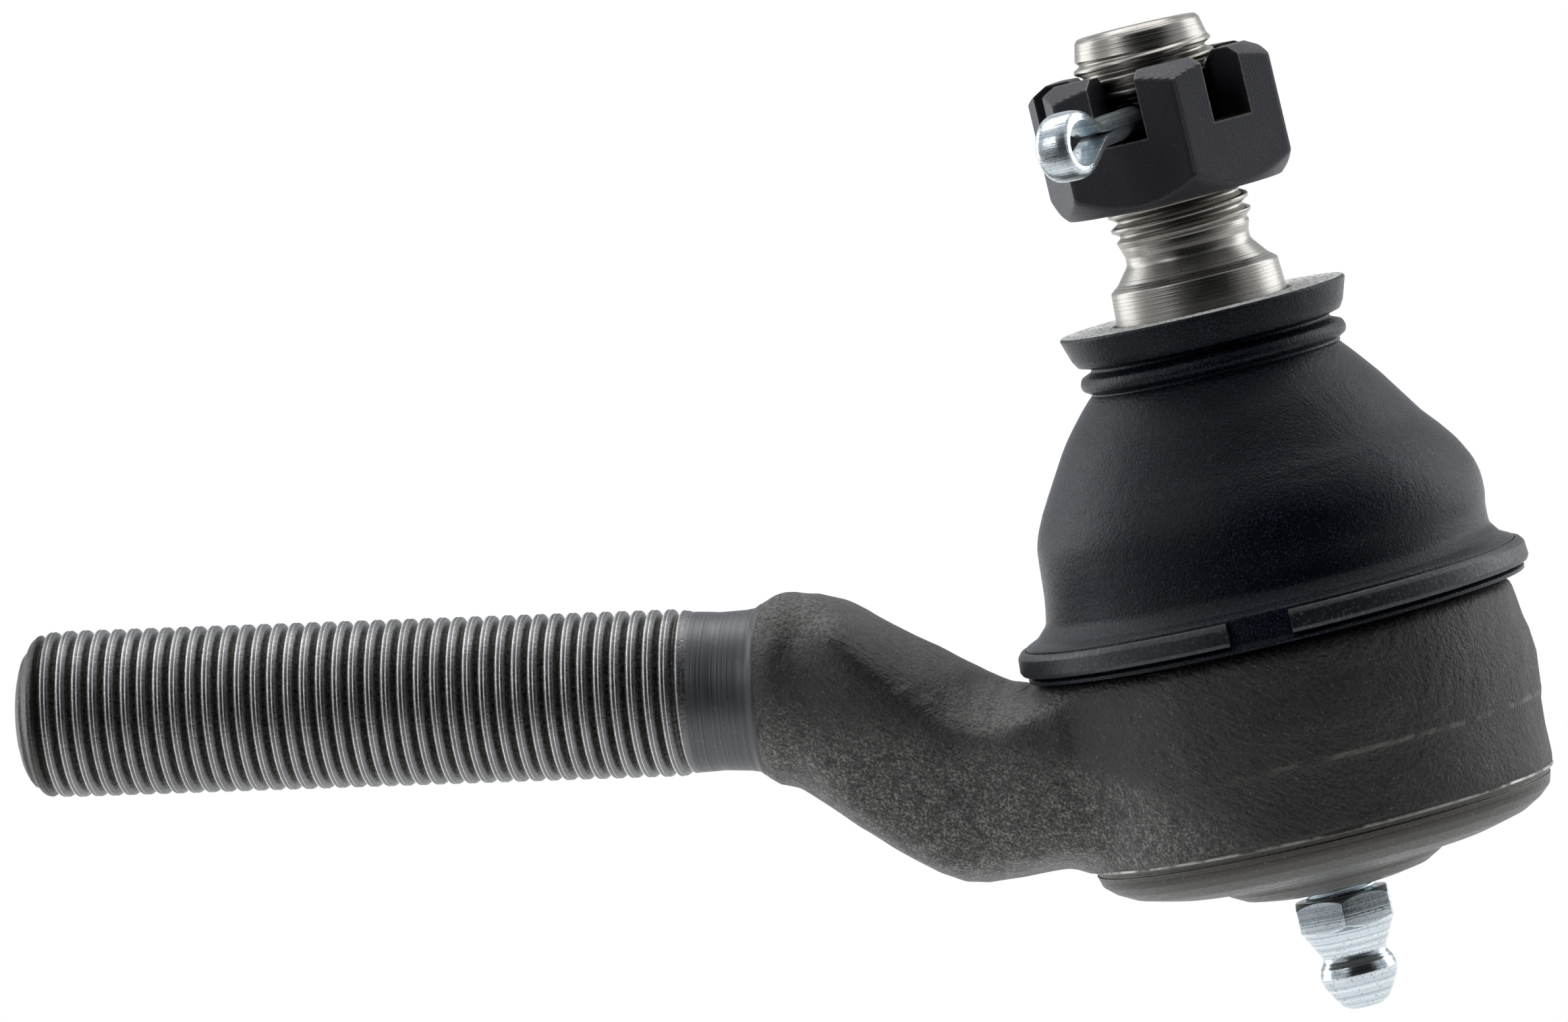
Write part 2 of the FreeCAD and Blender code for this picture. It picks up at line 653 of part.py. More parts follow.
def dust_boot():
    lip_in = groove_r + boot_fit
    wall_in = boot_wall_r - boot_wall_thickness
    waist_in = boot_waist_r - boot_waist_thickness
    over_collar_r = mouth_collar_r + boot_fit + 0.1
    roof_z = mouth_z + 0.45
    inner_top_z = boot_wall_top_z - 0.9
    shares = [(0, 0), (0.08, 0.22), (0.26, 0.4), (0.57, 0.68), (0.88, 0.91), (1, 1)]
    outer = dome_curve((boot_wall_r, boot_wall_top_z), (boot_waist_r, boot_waist_z), shares)
    inner = dome_curve((wall_in, inner_top_z), (waist_in, boot_waist_z), shares[:-2] + [(0.87, 0.85), (1, 1)])
    inner.reverse()
    outside = [
        (lip_in, groove_top_z - boot_fit),
        (lip_in, boot_skirt_z),
        (boot_skirt_r, boot_skirt_z),
        (boot_skirt_r, boot_skirt_z + 0.35),
        (boot_lip_r, ring_bottom_z - 0.1),
        (boot_lip_r, boot_lip_top_z),
        (boot_wall_r + 0.8, boot_lip_top_z + 0.6),
        (boot_wall_r, boot_lip_top_z + 1.6),
        (boot_wall_r, boot_wall_top_z),
    ]
    inside = [
        (wall_in, inner_top_z),
        (wall_in, roof_z),
        (over_collar_r, roof_z - 0.35),
        (over_collar_r, groove_top_z + 0.15),
        (lip_in, groove_top_z - boot_fit),
    ]
    edges = [spline_edge(outer), spline_edge(inner)]
    for chain in (outside, [outer[-1], inner[0]], inside):
        for a, b in zip(chain, chain[1:]):
            edges.append(Part.LineSegment(V(a[0], 0, a[1]), V(b[0], 0, b[1])).toShape())
    wire = Part.Wire(Part.__sortEdges__(edges))
    return Part.Face(wire).revolve(ORIGIN, Z_AXIS, 360)


def boot_collar():
    waist_in = boot_waist_r - boot_waist_thickness
    groove_z = boot_waist_z + collar_bead_height
    flange_r = boot_waist_r + collar_flange
    return revolve_outline([
        (waist_in, boot_waist_z),
        (boot_waist_r, boot_waist_z),
        ("arc", (boot_waist_r + collar_bead, boot_waist_z + collar_bead_height / 2),
         (boot_waist_r - collar_groove, groove_z)),
        (flange_r - collar_flange_taper, groove_z + 0.4),
        (flange_r, collar_top_z - 0.3),
        (flange_r - 0.25, collar_top_z),
        (taper_radius(collar_top_z) + collar_clearance, collar_top_z),
        (taper_radius(groove_z) + collar_clearance, groove_z),
    ])


def boot_retaining_ring():
    inner = boot_lip_r + ring_clearance
    band = revolve_outline([
        (inner, ring_bottom_z),
        (ring_r - 0.3, ring_bottom_z),
        (ring_r, ring_bottom_z + 0.3),
        (ring_r, ring_top_z - 0.35),
        (ring_r - 0.35, ring_top_z),
        (inner, ring_top_z),
    ])
    gap = Part.makeBox(ring_gap, 10, 10)
    gap.translate(V(-ring_gap / 2, -ring_r - 4, ring_bottom_z - 3))
    gap.rotate(ORIGIN, Z_AXIS, ring_gap_deg)
    return band.cut(gap)


PARTS = {
    "housing": housing,
    "upper_bearing_seat": upper_bearing_seat,
    "lower_bearing_seat": lower_bearing_seat,
    "preload_spring": preload_spring,
    "cover_plate": cover_plate,
    "grease_fitting_body": grease_fitting_body,
    "fitting_check_ball": fitting_check_ball,
    "fitting_spring": fitting_spring,
    "dust_boot": dust_boot,
    "boot_collar": boot_collar,
    "boot_retaining_ring": boot_retaining_ring,
    "ball_stud": ball_stud,
    "slotted_nut": slotted_nut,
    "cotter_pin": cotter_pin,
}

os.makedirs("parts", exist_ok=True)
for name, make in PARTS.items():
    shape = make()
    solids = shape.Solids
    shape = solids[0] if len(solids) == 1 else shape
    print(name, "valid", shape.isValid(), "solids", len(solids), "volume", round(shape.Volume, 2))
    shape.exportStep("parts/" + name + ".step")
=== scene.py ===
# %% [markdown]
# # A greaseable tie rod end
# This part joins a car's steering rod to its wheel. A drop-forged steel housing holds a ball. A tapered stud
# leaves the ball through a rubber boot, and a slotted nut with a cotter pin locks it to the steering arm. The
# frame below is the CAD model: its sizes, places and joints are fixed. Every visible piece is made again here
# as a fine mesh in the same place, so that it can carry rolled threads, forging skin and soft rubber.

# %% Load the fixed frame
import json
import math
import bpy
import bmesh
import numpy as np
from mathutils import Matrix, Vector


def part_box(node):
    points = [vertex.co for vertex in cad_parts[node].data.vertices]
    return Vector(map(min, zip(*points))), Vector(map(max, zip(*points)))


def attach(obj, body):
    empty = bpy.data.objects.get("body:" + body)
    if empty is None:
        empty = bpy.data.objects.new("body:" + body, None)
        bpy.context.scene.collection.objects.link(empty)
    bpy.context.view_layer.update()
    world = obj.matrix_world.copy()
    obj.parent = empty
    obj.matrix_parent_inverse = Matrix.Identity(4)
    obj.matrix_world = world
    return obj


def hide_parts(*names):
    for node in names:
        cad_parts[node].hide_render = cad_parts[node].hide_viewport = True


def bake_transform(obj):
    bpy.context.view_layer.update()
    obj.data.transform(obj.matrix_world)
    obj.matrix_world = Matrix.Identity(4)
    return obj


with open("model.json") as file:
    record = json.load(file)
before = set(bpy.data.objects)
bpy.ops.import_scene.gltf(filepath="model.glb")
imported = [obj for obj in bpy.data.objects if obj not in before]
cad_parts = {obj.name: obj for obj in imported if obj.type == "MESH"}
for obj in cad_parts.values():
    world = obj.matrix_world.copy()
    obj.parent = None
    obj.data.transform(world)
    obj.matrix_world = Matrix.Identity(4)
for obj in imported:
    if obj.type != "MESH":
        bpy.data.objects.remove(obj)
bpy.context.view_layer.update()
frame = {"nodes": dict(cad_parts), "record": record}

# %% [markdown]
# ## Sizes
# Blender works in metres, but a part this small is easier to read in millimetres. All shapes below are
# written in millimetres and turned into metres once, when their mesh is made. The main levels come from the
# boxes of the CAD nodes.

# %% Levels read from the frame
MM = 0.001
UP = Vector((0, 0, 1))


def low(node):
    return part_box(node)[0] / MM


def high(node):
    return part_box(node)[1] / MM


mounts = {m["name"]: m for m in frame["record"]["mounts"]}
shank_way = Vector(mounts["shank_thread"]["axis"]).normalized()
shank_up = Vector((shank_way.z, 0, -shank_way.x))
crest_r = mounts["shank_thread"]["dims"]["r_mm"]
ball_r = high("ball_stud").x
stud_top = high("ball_stud").z
nut_bottom, nut_top = low("slotted_nut").z, high("slotted_nut").z
collar_bottom, collar_top = low("boot_collar").z, high("boot_collar").z
boot_bottom = low("dust_boot").z
cover_bottom = low("cover_plate").z
fitting_tip = low("grease_fitting_body").z
print("stud top", round(stud_top, 2), "nut", round(nut_bottom, 2), round(nut_top, 2))

# %% [markdown]
# ## The camera
# A long lens from far away keeps both ends of the shank the same size, as in a catalogue picture. The camera
# stands a little to the right of square on and a little above. It also leans, so the stud tips to the left.

# %% Camera
view_turn = math.radians(10.5)
view_height = math.radians(3.6)
view_lean = math.radians(13.4)
view_distance = 1500.0
view_width = 132.5
aim_left, aim_up = 42.6, 13.56

back = Vector((math.sin(view_turn) * math.cos(view_height),
               -math.cos(view_turn) * math.cos(view_height),
               math.sin(view_height)))
right = UP.cross(back).normalized()
right = Matrix.Rotation(-view_lean, 3, back) @ right
screen_up = back.cross(right).normalized()
aim = -right * aim_left + screen_up * aim_up
camera_data = bpy.data.cameras.new("catalogue_camera")
camera_data.sensor_width = 36.0
camera_data.lens = camera_data.sensor_width * view_distance / view_width
camera_data.clip_end = 100.0
camera = bpy.data.objects.new("catalogue_camera", camera_data)
bpy.context.scene.collection.objects.link(camera)
place = Matrix((right, screen_up, back)).transposed().to_4x4()
place.translation = (aim + back * view_distance) * MM
camera.matrix_world = place
bpy.context.scene.camera = camera
print("lens", round(camera_data.lens, 1), "mm")

# %% [markdown]
# ## Node tools
# Materials and the light in the room are graphs of nodes. These few functions each add one node, so that the
# graphs below read almost like sums. A value may be a plain number or the socket that it comes from.

# %% Node tools


def new_material(name):
    material = bpy.data.materials.new(name)
    material.use_nodes = True
    material.node_tree.nodes.clear()
    return material


def node(tree, kind, **inputs):
    """A node with values for its inputs or, for names that are no input, its settings."""
    made = tree.nodes.new(kind)
    for key, value in inputs.items():
        target = key.replace("_", " ")
        if target in made.inputs:
            made.inputs[target].default_value = value
        else:
            setattr(made, key, value)
    return made


def feed(tree, value, socket):
    if isinstance(value, bpy.types.NodeSocket):
        tree.links.new(value, socket)
    else:
        socket.default_value = value


def place_on_part(tree):
    return node(tree, "ShaderNodeTexCoord").outputs["Object"]


def maths(tree, operation, first, second=None, third=None):
    made = node(tree, "ShaderNodeMath", operation=operation)
    for socket, value in zip(made.inputs, (first, second, third)):
        if value is not None:
            feed(tree, value, socket)
    return made.outputs[0]


def vector_maths(tree, operation, first, second=None):
    """DOT_PRODUCT and LENGTH give a number, and the others a vector."""
    made = node(tree, "ShaderNodeVectorMath", operation=operation)
    feed(tree, first, made.inputs[0])
    if second is not None:
        feed(tree, second, made.inputs[1])
    return made.outputs["Value" if operation in ("DOT_PRODUCT", "LENGTH") else "Vector"]


def spread(tree, value, low_end, high_end, to_low=0.0, to_high=1.0):
    """Maps a value smoothly from one range to another."""
    made = node(tree, "ShaderNodeMapRange", interpolation_type="SMOOTHSTEP")
    for socket, item in zip(made.inputs, (value, low_end, high_end, to_low, to_high)):
        feed(tree, item, socket)
    return made.outputs[0]


def noise_node(tree, scale, detail=4.0, roughness=0.6, vector=None, distortion=0.0):
    made = node(tree, "ShaderNodeTexNoise", Detail=detail, Roughness=roughness, Distortion=distortion)
    feed(tree, scale, made.inputs["Scale"])
    if vector is not None:
        tree.links.new(vector, made.inputs["Vector"])
    return made.outputs["Fac"]


print("node tools ready")

# %% [markdown]
# ## Floor and light
# The studio is white all round. The floor shows as plain white to the camera. To the part it shines from
# below and behind and is dark in front, so the dark steel stays dark. Two tall soft boxes stand left and
# right, a little behind the part, and draw a bright line down each edge. A third one above lights the
# shoulders, and a small weak one fills in the front.

# %% Floor
floor_drop = 45.0
floor_size = 30.0


def shown_only_to_camera(tree, shown, hidden):
    """The camera sees one shader, and everything else is lit by the other."""
    mix = node(tree, "ShaderNodeMixShader")
    tree.links.new(node(tree, "ShaderNodeLightPath").outputs["Is Camera Ray"], mix.inputs[0])
    tree.links.new(hidden.outputs[0], mix.inputs[1])
    tree.links.new(shown.outputs[0], mix.inputs[2])
    return mix


def floor_finish():
    """A floor that glows behind the part, fades to dark in front of it and is clear from below."""
    material = new_material("white_floor")
    tree = material.node_tree
    lit = node(tree, "ShaderNodeEmission", Color=(0.97, 0.985, 1.0, 1))
    forward = vector_maths(tree, "DOT_PRODUCT", place_on_part(tree), (back.x, back.y, 0))
    feed(tree, spread(tree, forward, 0.04, 0.26, 1.05, 0.01), lit.inputs["Strength"])
    seen = shown_only_to_camera(tree, node(tree, "ShaderNodeEmission", Color=(1, 1, 1, 1), Strength=1.0), lit)
    side_mix = node(tree, "ShaderNodeMixShader")
    tree.links.new(node(tree, "ShaderNodeNewGeometry").outputs["Backfacing"], side_mix.inputs[0])
    tree.links.new(seen.outputs[0], side_mix.inputs[1])
    tree.links.new(node(tree, "ShaderNodeBsdfTransparent").outputs[0], side_mix.inputs[2])
    tree.links.new(side_mix.outputs[0], node(tree, "ShaderNodeOutputMaterial").inputs[0])
    return material


def make_floor():
    half = floor_size / 2
    corners = [(-half, -half, 0), (half, -half, 0), (half, half, 0), (-half, half, 0)]
    mesh = bpy.data.meshes.new("studio_floor")
    mesh.from_pydata(corners, [], [(0, 1, 2, 3)])
    mesh.materials.append(floor_finish())
    floor = bpy.data.objects.new("studio_floor", mesh)
    floor.location.z = (fitting_tip - floor_drop) * MM
    bpy.context.scene.collection.objects.link(floor)
    print("floor at", round(fitting_tip - floor_drop, 1), "mm")


make_floor()

# %% Soft boxes and the white room


def soft_box(name, turn_deg, height, distance, wide, tall, watts, colour=(1, 1, 1)):
    """A rectangle of light that faces the part. turn_deg goes from the camera's side towards its right."""
    data = bpy.data.lights.new(name, "AREA")
    data.shape = "RECTANGLE"
    data.size, data.size_y = wide, tall
    data.energy = watts
    data.color = colour
    lamp = bpy.data.objects.new(name, data)
    turn = math.radians(turn_deg) + view_turn
    spot = Vector((math.sin(turn) * distance, -math.cos(turn) * distance, height))
    target = Vector((-0.02, 0, 0.01))
    lamp.matrix_world = (target - spot).to_track_quat("-Z", "Y").to_matrix().to_4x4()
    lamp.location = spot
    bpy.context.scene.collection.objects.link(lamp)
    return lamp


soft_box("left_box", -118, 0.14, 0.75, 0.50, 1.0, 3.6, (0.95, 0.98, 1.0))
soft_box("right_box", 116, 0.10, 0.75, 0.50, 1.0, 3.6, (0.95, 0.98, 1.0))
soft_box("top_box", 175, 0.85, 0.30, 0.9, 0.5, 4.0)
soft_box("front_fill", -48, 0.62, 0.85, 0.30, 0.25, 1.0, (0.98, 0.99, 1.0))


def white_room():
    """Bright all round the part, but dark on the camera's side, and plain white where the camera looks."""
    world = bpy.data.worlds.new("white_room")
    bpy.context.scene.world = world
    world.use_nodes = True
    tree = world.node_tree
    tree.nodes.clear()
    where = node(tree, "ShaderNodeTexCoord").outputs["Generated"]
    dark_way = Matrix.Rotation(math.radians(9), 3, "Z") @ back
    facing = vector_maths(tree, "DOT_PRODUCT", where, dark_way)
    room = node(tree, "ShaderNodeBackground", Color=(0.93, 0.96, 1.0, 1))
    feed(tree, spread(tree, facing, 0.46, 0.84, 0.60, 0.004), room.inputs["Strength"])
    white = node(tree, "ShaderNodeBackground", Color=(1, 1, 1, 1), Strength=1.0)
    mix = shown_only_to_camera(tree, white, room)
    tree.links.new(mix.outputs[0], node(tree, "ShaderNodeOutputWorld").inputs[0])


white_room()
bpy.context.scene.view_settings.view_transform = "Standard"

# %% [markdown]
# ## Mesh tools
# Most pieces of this part were turned on a lathe, so most meshes here are an outline spun about the stud's
# axis. Real corners are never quite sharp, so the outline's corners are first turned into small arcs.

# %% Making a piece


def make_piece(name, points, faces, body, material, sharp_deg=32.0):
    """A mesh object from points in millimetres. Points that fall together become one."""
    mesh = bpy.data.meshes.new(name)
    mesh.from_pydata([(x * MM, y * MM, z * MM) for x, y, z in points], [], faces)
    finish_mesh(mesh, sharp_deg)
    piece = bpy.data.objects.new(name, mesh)
    bpy.context.scene.collection.objects.link(piece)
    mesh.materials.append(material)
    if body:
        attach(piece, body)
    print(name, len(mesh.polygons), "faces")
    return piece


def finish_mesh(mesh, sharp_deg):
    shape = bmesh.new()
    shape.from_mesh(mesh)
    bmesh.ops.remove_doubles(shape, verts=shape.verts, dist=2e-6)
    bmesh.ops.dissolve_degenerate(shape, dist=1e-7, edges=shape.edges)
    bmesh.ops.recalc_face_normals(shape, faces=shape.faces)
    shape.to_mesh(mesh)
    shape.free()
    mesh.shade_smooth()
    mesh.set_sharp_from_angle(angle=math.radians(sharp_deg))


# %% Outlines


def rounded(outline, radius=0.15, steps=3, closed=False):
    """Each corner (r, z) or (r, z, its own radius) becomes a small arc."""
    count = len(outline)
    made = [] if closed else [Vector(outline[0][:2])]
    for i in range(0 if closed else 1, count if closed else count - 1):
        corner = outline[i]
        own = corner[2] if len(corner) > 2 else radius
        p = Vector(corner[:2])
        to_last = Vector(outline[i - 1][:2]) - p
        to_next = Vector(outline[(i + 1) % count][:2]) - p
        if own <= 0 or to_last.length < 1e-6 or to_next.length < 1e-6:
            made.append(p)
            continue
        between = to_last.angle(to_next)
        if math.pi - between < 0.06:
            made.append(p)
            continue
        reach = min(own / math.tan(between / 2), 0.48 * to_last.length, 0.48 * to_next.length)
        first, last = p + to_last.normalized() * reach, p + to_next.normalized() * reach
        for k in range(steps + 1):
            t = k / steps
            made.append(first * (1 - t) ** 2 + p * 2 * t * (1 - t) + last * t ** 2)
    if not closed:
        made.append(Vector(outline[-1][:2]))
    return [(v.x, v.y) for v in made]


def flowing(points, steps=8):
    """A smooth line through a few points, for shapes that no compass drew."""
    pts = [Vector(p) for p in points]
    pts = [pts[0] * 2 - pts[1]] + pts + [pts[-1] * 2 - pts[-2]]
    made = []
    for a, b, c, d in zip(pts, pts[1:], pts[2:], pts[3:]):
        for k in range(steps):
            t = k / steps
            made.append(0.5 * (2 * b + (c - a) * t + (2 * a - 5 * b + 4 * c - d) * t ** 2
                               + (3 * b - a - 3 * c + d) * t ** 3))
    made.append(pts[-2])
    return [tuple(v) for v in made]


print("outline tools ready")

# %% [markdown]
# Three ways to turn outlines into faces. `spun` turns an outline about an axis, as a lathe does. `swept` runs
# a closed section along a path, for wire, bands and prisms. `joined` puts meshes together, so that a piece
# made in several ways is still one mesh.

# %% Spinning and sweeping


def around_z(turn, along, radius):
    return (radius * math.sin(turn), -radius * math.cos(turn), along)


def spun(outline, around, closed, at=around_z):
    """Points and faces of an outline spun about an axis. at turns (turn, along, radius) into a point."""
    points, faces = [], []
    n = len(outline)
    for i in range(around):
        points += [at(2 * math.pi * i / around, z, r) for r, z in outline]
        j = (i + 1) % around
        for k in range(n if closed else n - 1):
            m = (k + 1) % n
            faces.append((i * n + k, j * n + k, j * n + m, i * n + m))
    return points, faces


def swept(sections):
    """Points and faces of a bar through one closed section after another, with flat ends."""
    n, last = len(sections[0]), len(sections) - 1
    faces = [tuple(range(n)), tuple(last * n + k for k in reversed(range(n)))]
    for i in range(last):
        for k in range(n):
            m = (k + 1) % n
            faces.append((i * n + k, (i + 1) * n + k, (i + 1) * n + m, i * n + m))
    return [point for section in sections for point in section], faces


def joined(*parts):
    """Several (points, faces) pairs as one."""
    points, faces = [], []
    for more, more_faces in parts:
        base = len(points)
        points += more
        faces += [tuple(base + i for i in face) for face in more_faces]
    return points, faces


def lathe(name, outline, body, material, around=144, sharp_deg=32.0, at=around_z):
    """A closed outline spun into a finished ring."""
    points, faces = spun(outline, around, True, at)
    return make_piece(name, points, faces, body, material, sharp_deg)


print("spinning and sweeping tools ready")

# %% [markdown]
# ## Rolled threads
# A thread is a ridge wound round a cylinder. If a plain grid is pushed in and out to follow it, the ridge
# breaks into steps. Here the grid itself is wound: each column starts a little later than the last, so its
# rows run along the ridge, and after one turn the last column meets the first one pitch on.

# %% A wound skin


def thread_form(share, root=0.10, crest=0.30, seam=0.0):
    """Height of the thread, 0 to 1, at a share of the pitch. 0 is the middle of the root."""
    away = abs(share - round(share))
    flank = (away - root / 2) / (0.5 - crest / 2 - root / 2)
    form = min(max(flank, 0.0), 1.0)
    form = form * form * (3 - 2 * form) * 0.35 + form * 0.65
    beside = (0.5 - away) / (crest / 2)
    if beside < 1:
        form -= 0.10 * beside ** 4
        form -= seam * math.exp(-(beside / 0.30) ** 2)
    return form


def wound_skin(start, end, pitch, radius_at, around, rows, at=around_z):
    """Points and faces of a thread's skin between two flat ends."""
    turns_before = 1
    count = int((end - start) / pitch + 2 * turns_before + 1) * rows
    points, faces = [], []
    for i in range(around):
        lead = i / around
        for j in range(count + 1):
            share = j / rows
            along = start + (share - turns_before + lead) * pitch
            along = min(max(along, start), end)
            points.append(at(2 * math.pi * lead, along, radius_at(along, share)))
    n = count + 1
    for i in range(around):
        j, jump = ((i + 1), 0) if i + 1 < around else (0, rows)
        for k in range(count):
            if k + 1 + jump > count:
                continue
            faces.append((i * n + k, j * n + k + jump, j * n + k + 1 + jump, i * n + k + 1))
    return points, faces


print("thread height at root, flank, crest:", [round(thread_form(share), 2) for share in (0, 0.25, 0.5)])

# %% [markdown]
# ## Effects shared by the finishes
# Each effect is a node group: it is wired once and then dropped into every material that needs it, with that
# material's own values. The groups only work out masks and heights from the place on the part.

# %% Making a group


def new_group(name, inputs, outputs):
    """An empty node group. inputs are (name, kind, default) with kind Float or Vector. outputs are names."""
    group = bpy.data.node_groups.new(name, "ShaderNodeTree")
    for label, kind, default in inputs:
        socket = group.interface.new_socket(name=label, in_out="INPUT", socket_type="NodeSocket" + kind)
        socket.default_value = default
    for label in outputs:
        group.interface.new_socket(name=label, in_out="OUTPUT", socket_type="NodeSocketFloat")
    return group, group.nodes.new("NodeGroupInput").outputs, group.nodes.new("NodeGroupOutput").inputs


print("node groups so far:", len(bpy.data.node_groups))

# %% [markdown]
# Two groups for skin. `surface_grain` lays a fine grain, separate light specks and large soft patches over
# each other, which is what forging scale and moulded rubber look like close up. `die_wrinkles` is stretched
# noise: short wrinkles that run one way, as a die leaves them.

# %% Skin


def grain_group():
    tree, given, out = new_group(
        "surface_grain",
        [("Grain Size", "Float", 0.3), ("Speck Size", "Float", 0.5), ("Speck Share", "Float", 0.1)],
        ["Grain", "Specks", "Patches"])
    where = place_on_part(tree)
    fine = maths(tree, "DIVIDE", 1.0 / MM, given["Grain Size"])
    coarse = maths(tree, "DIVIDE", 1.0 / MM, given["Speck Size"])
    specks = noise_node(tree, coarse, 3.0, 0.6, where, 0.3)
    patches = noise_node(tree, 0.13 / MM, 4.0, 0.65, where, 0.8)
    edge = maths(tree, "SUBTRACT", 0.66, given["Speck Share"])
    edge = maths(tree, "MULTIPLY_ADD", patches, -0.16, maths(tree, "ADD", edge, 0.08))
    tree.links.new(noise_node(tree, fine, 4.0, 0.6, where), out["Grain"])
    tree.links.new(spread(tree, specks, edge, maths(tree, "ADD", edge, 0.09)), out["Specks"])
    tree.links.new(patches, out["Patches"])
    return tree


def hatch_group():
    tree, given, out = new_group(
        "die_wrinkles", [("Size", "Float", 0.5), ("Stretch", "Float", 4.0)], ["Height"])
    turn = node(tree, "ShaderNodeMapping", Rotation=(0.35, 0.9, 0.2))
    tree.links.new(place_on_part(tree), turn.inputs["Vector"])
    squeeze = node(tree, "ShaderNodeCombineXYZ", X=1.0, Y=1.0)
    tree.links.new(maths(tree, "DIVIDE", 1.0, given["Stretch"]), squeeze.inputs[2])
    stretched = vector_maths(tree, "MULTIPLY", turn.outputs[0], squeeze.outputs[0])
    scale = maths(tree, "DIVIDE", 1.0 / MM, given["Size"])
    tree.links.new(noise_node(tree, scale, 3.0, 0.55, stretched, 0.5), out["Height"])
    return tree


GRAIN, HATCH = grain_group(), hatch_group()
print("skin groups:", GRAIN.name, HATCH.name)

# %% [markdown]
# Two groups for machining and handling. `turning_marks` gives the rings that a lathe tool leaves, square to
# an axis. `edge_wear` asks a Bevel node where the surface turns a corner, because corners rub bright first.

# %% Tool marks and worn edges


def edge_group():
    tree, given, out = new_group(
        "edge_wear", [("Reach", "Float", 0.0003), ("Start", "Float", 0.02), ("Full", "Float", 0.2)], ["Mask"])
    bevel = node(tree, "ShaderNodeBevel", samples=4)
    tree.links.new(given["Reach"], bevel.inputs["Radius"])
    plain = node(tree, "ShaderNodeNewGeometry").outputs["Normal"]
    turned = maths(tree, "SUBTRACT", 1.0, vector_maths(tree, "DOT_PRODUCT", bevel.outputs[0], plain))
    mask = spread(tree, turned, given["Start"], given["Full"])
    patchy = noise_node(tree, 2.0 / MM, 3.0, 0.7, place_on_part(tree))
    tree.links.new(maths(tree, "MULTIPLY", mask, spread(tree, patchy, 0.3, 0.6, 0.25, 1.0)), out["Mask"])
    return tree


def turning_group():
    tree, given, out = new_group(
        "turning_marks", [("Axis", "Vector", (0, 0, 1)), ("Spacing", "Float", 0.2)], ["Rings", "Bands"])
    where = place_on_part(tree)
    wander = noise_node(tree, 0.05 / MM, 1.0, 0.5, where)
    place = vector_maths(tree, "DOT_PRODUCT", where, given["Axis"])
    place = maths(tree, "MULTIPLY_ADD", wander, 0.12 * MM, place)
    for label, share in (("Rings", 1.0), ("Bands", 0.17)):
        lines = node(tree, "ShaderNodeTexNoise", noise_dimensions="1D", Detail=3.0, Scale=1.0)
        per = maths(tree, "DIVIDE", share / MM, given["Spacing"])
        tree.links.new(maths(tree, "MULTIPLY", place, per), lines.inputs["W"])
        tree.links.new(lines.outputs["Fac"], out[label])
    return tree


EDGE, TURNING = edge_group(), turning_group()
print("wear groups:", EDGE.name, TURNING.name)

# %% [markdown]
# Four groups that say where on the part a point is: how far out from an axis (thread crests against their
# roots), how far along an axis, which way the surface faces, and how near a given level. The last of them
# draws the broken line where two dies met.

# %% Places


def crest_group():
    tree, given, out = new_group(
        "crest_mask", [("Axis", "Vector", (0, 0, 1)), ("Low", "Float", 5.0), ("High", "Float", 6.0)],
        ["Mask"])
    across = vector_maths(tree, "CROSS_PRODUCT", place_on_part(tree), given["Axis"])
    away = maths(tree, "DIVIDE", vector_maths(tree, "LENGTH", across), MM)
    tree.links.new(spread(tree, away, given["Low"], given["High"]), out["Mask"])
    return tree


def along_group():
    tree, given, out = new_group(
        "along_mask", [("Axis", "Vector", (0, 0, 1)), ("Start", "Float", 0.0), ("Full", "Float", 1.0)],
        ["Mask"])
    place = maths(tree, "DIVIDE", vector_maths(tree, "DOT_PRODUCT", place_on_part(tree), given["Axis"]), MM)
    tree.links.new(spread(tree, place, given["Start"], given["Full"]), out["Mask"])
    return tree


def facing_group():
    tree, given, out = new_group(
        "facing", [("Way", "Vector", (0, 0, 1)), ("Start", "Float", 0.2), ("Full", "Float", 0.6)], ["Mask"])
    normal = node(tree, "ShaderNodeNewGeometry").outputs["Normal"]
    turned = vector_maths(tree, "DOT_PRODUCT", normal, given["Way"])
    tree.links.new(spread(tree, turned, given["Start"], given["Full"]), out["Mask"])
    return tree


def level_line_group():
    tree, given, out = new_group(
        "level_line", [("Height", "Float", 0.0), ("Width", "Float", 0.3), ("Wander", "Float", 0.3),
                       ("From X", "Float", 0.0)], ["Mask"])
    where = place_on_part(tree)
    parts = node(tree, "ShaderNodeSeparateXYZ")
    tree.links.new(where, parts.inputs[0])
    level = maths(tree, "DIVIDE", parts.outputs["Z"], MM)
    drift = maths(tree, "SUBTRACT", noise_node(tree, 0.22 / MM, 2.0, 0.5, where), 0.5)
    level = maths(tree, "MULTIPLY_ADD", drift, given["Wander"], level)
    away = maths(tree, "ABSOLUTE", maths(tree, "SUBTRACT", level, given["Height"]))
    line = spread(tree, away, given["Width"], maths(tree, "MULTIPLY", given["Width"], 0.2))
    broken = spread(tree, noise_node(tree, 0.35 / MM, 3.0, 0.7, where), 0.42, 0.62)
    past = maths(tree, "SUBTRACT", maths(tree, "DIVIDE", parts.outputs["X"], MM), given["From X"])
    mask = maths(tree, "MULTIPLY", maths(tree, "MULTIPLY", line, broken), spread(tree, past, 0.0, 14.0))
    tree.links.new(mask, out["Mask"])
    return tree


CREST, ALONG, FACING, LEVEL_LINE = crest_group(), along_group(), facing_group(), level_line_group()
print("place groups:", [g.name for g in (CREST, ALONG, FACING, LEVEL_LINE)])

# %% [markdown]
# One group knows this housing: the low side of the drop neck, where handling has knocked the dark scale off
# in broken patches. The line that it starts from slopes with the neck.

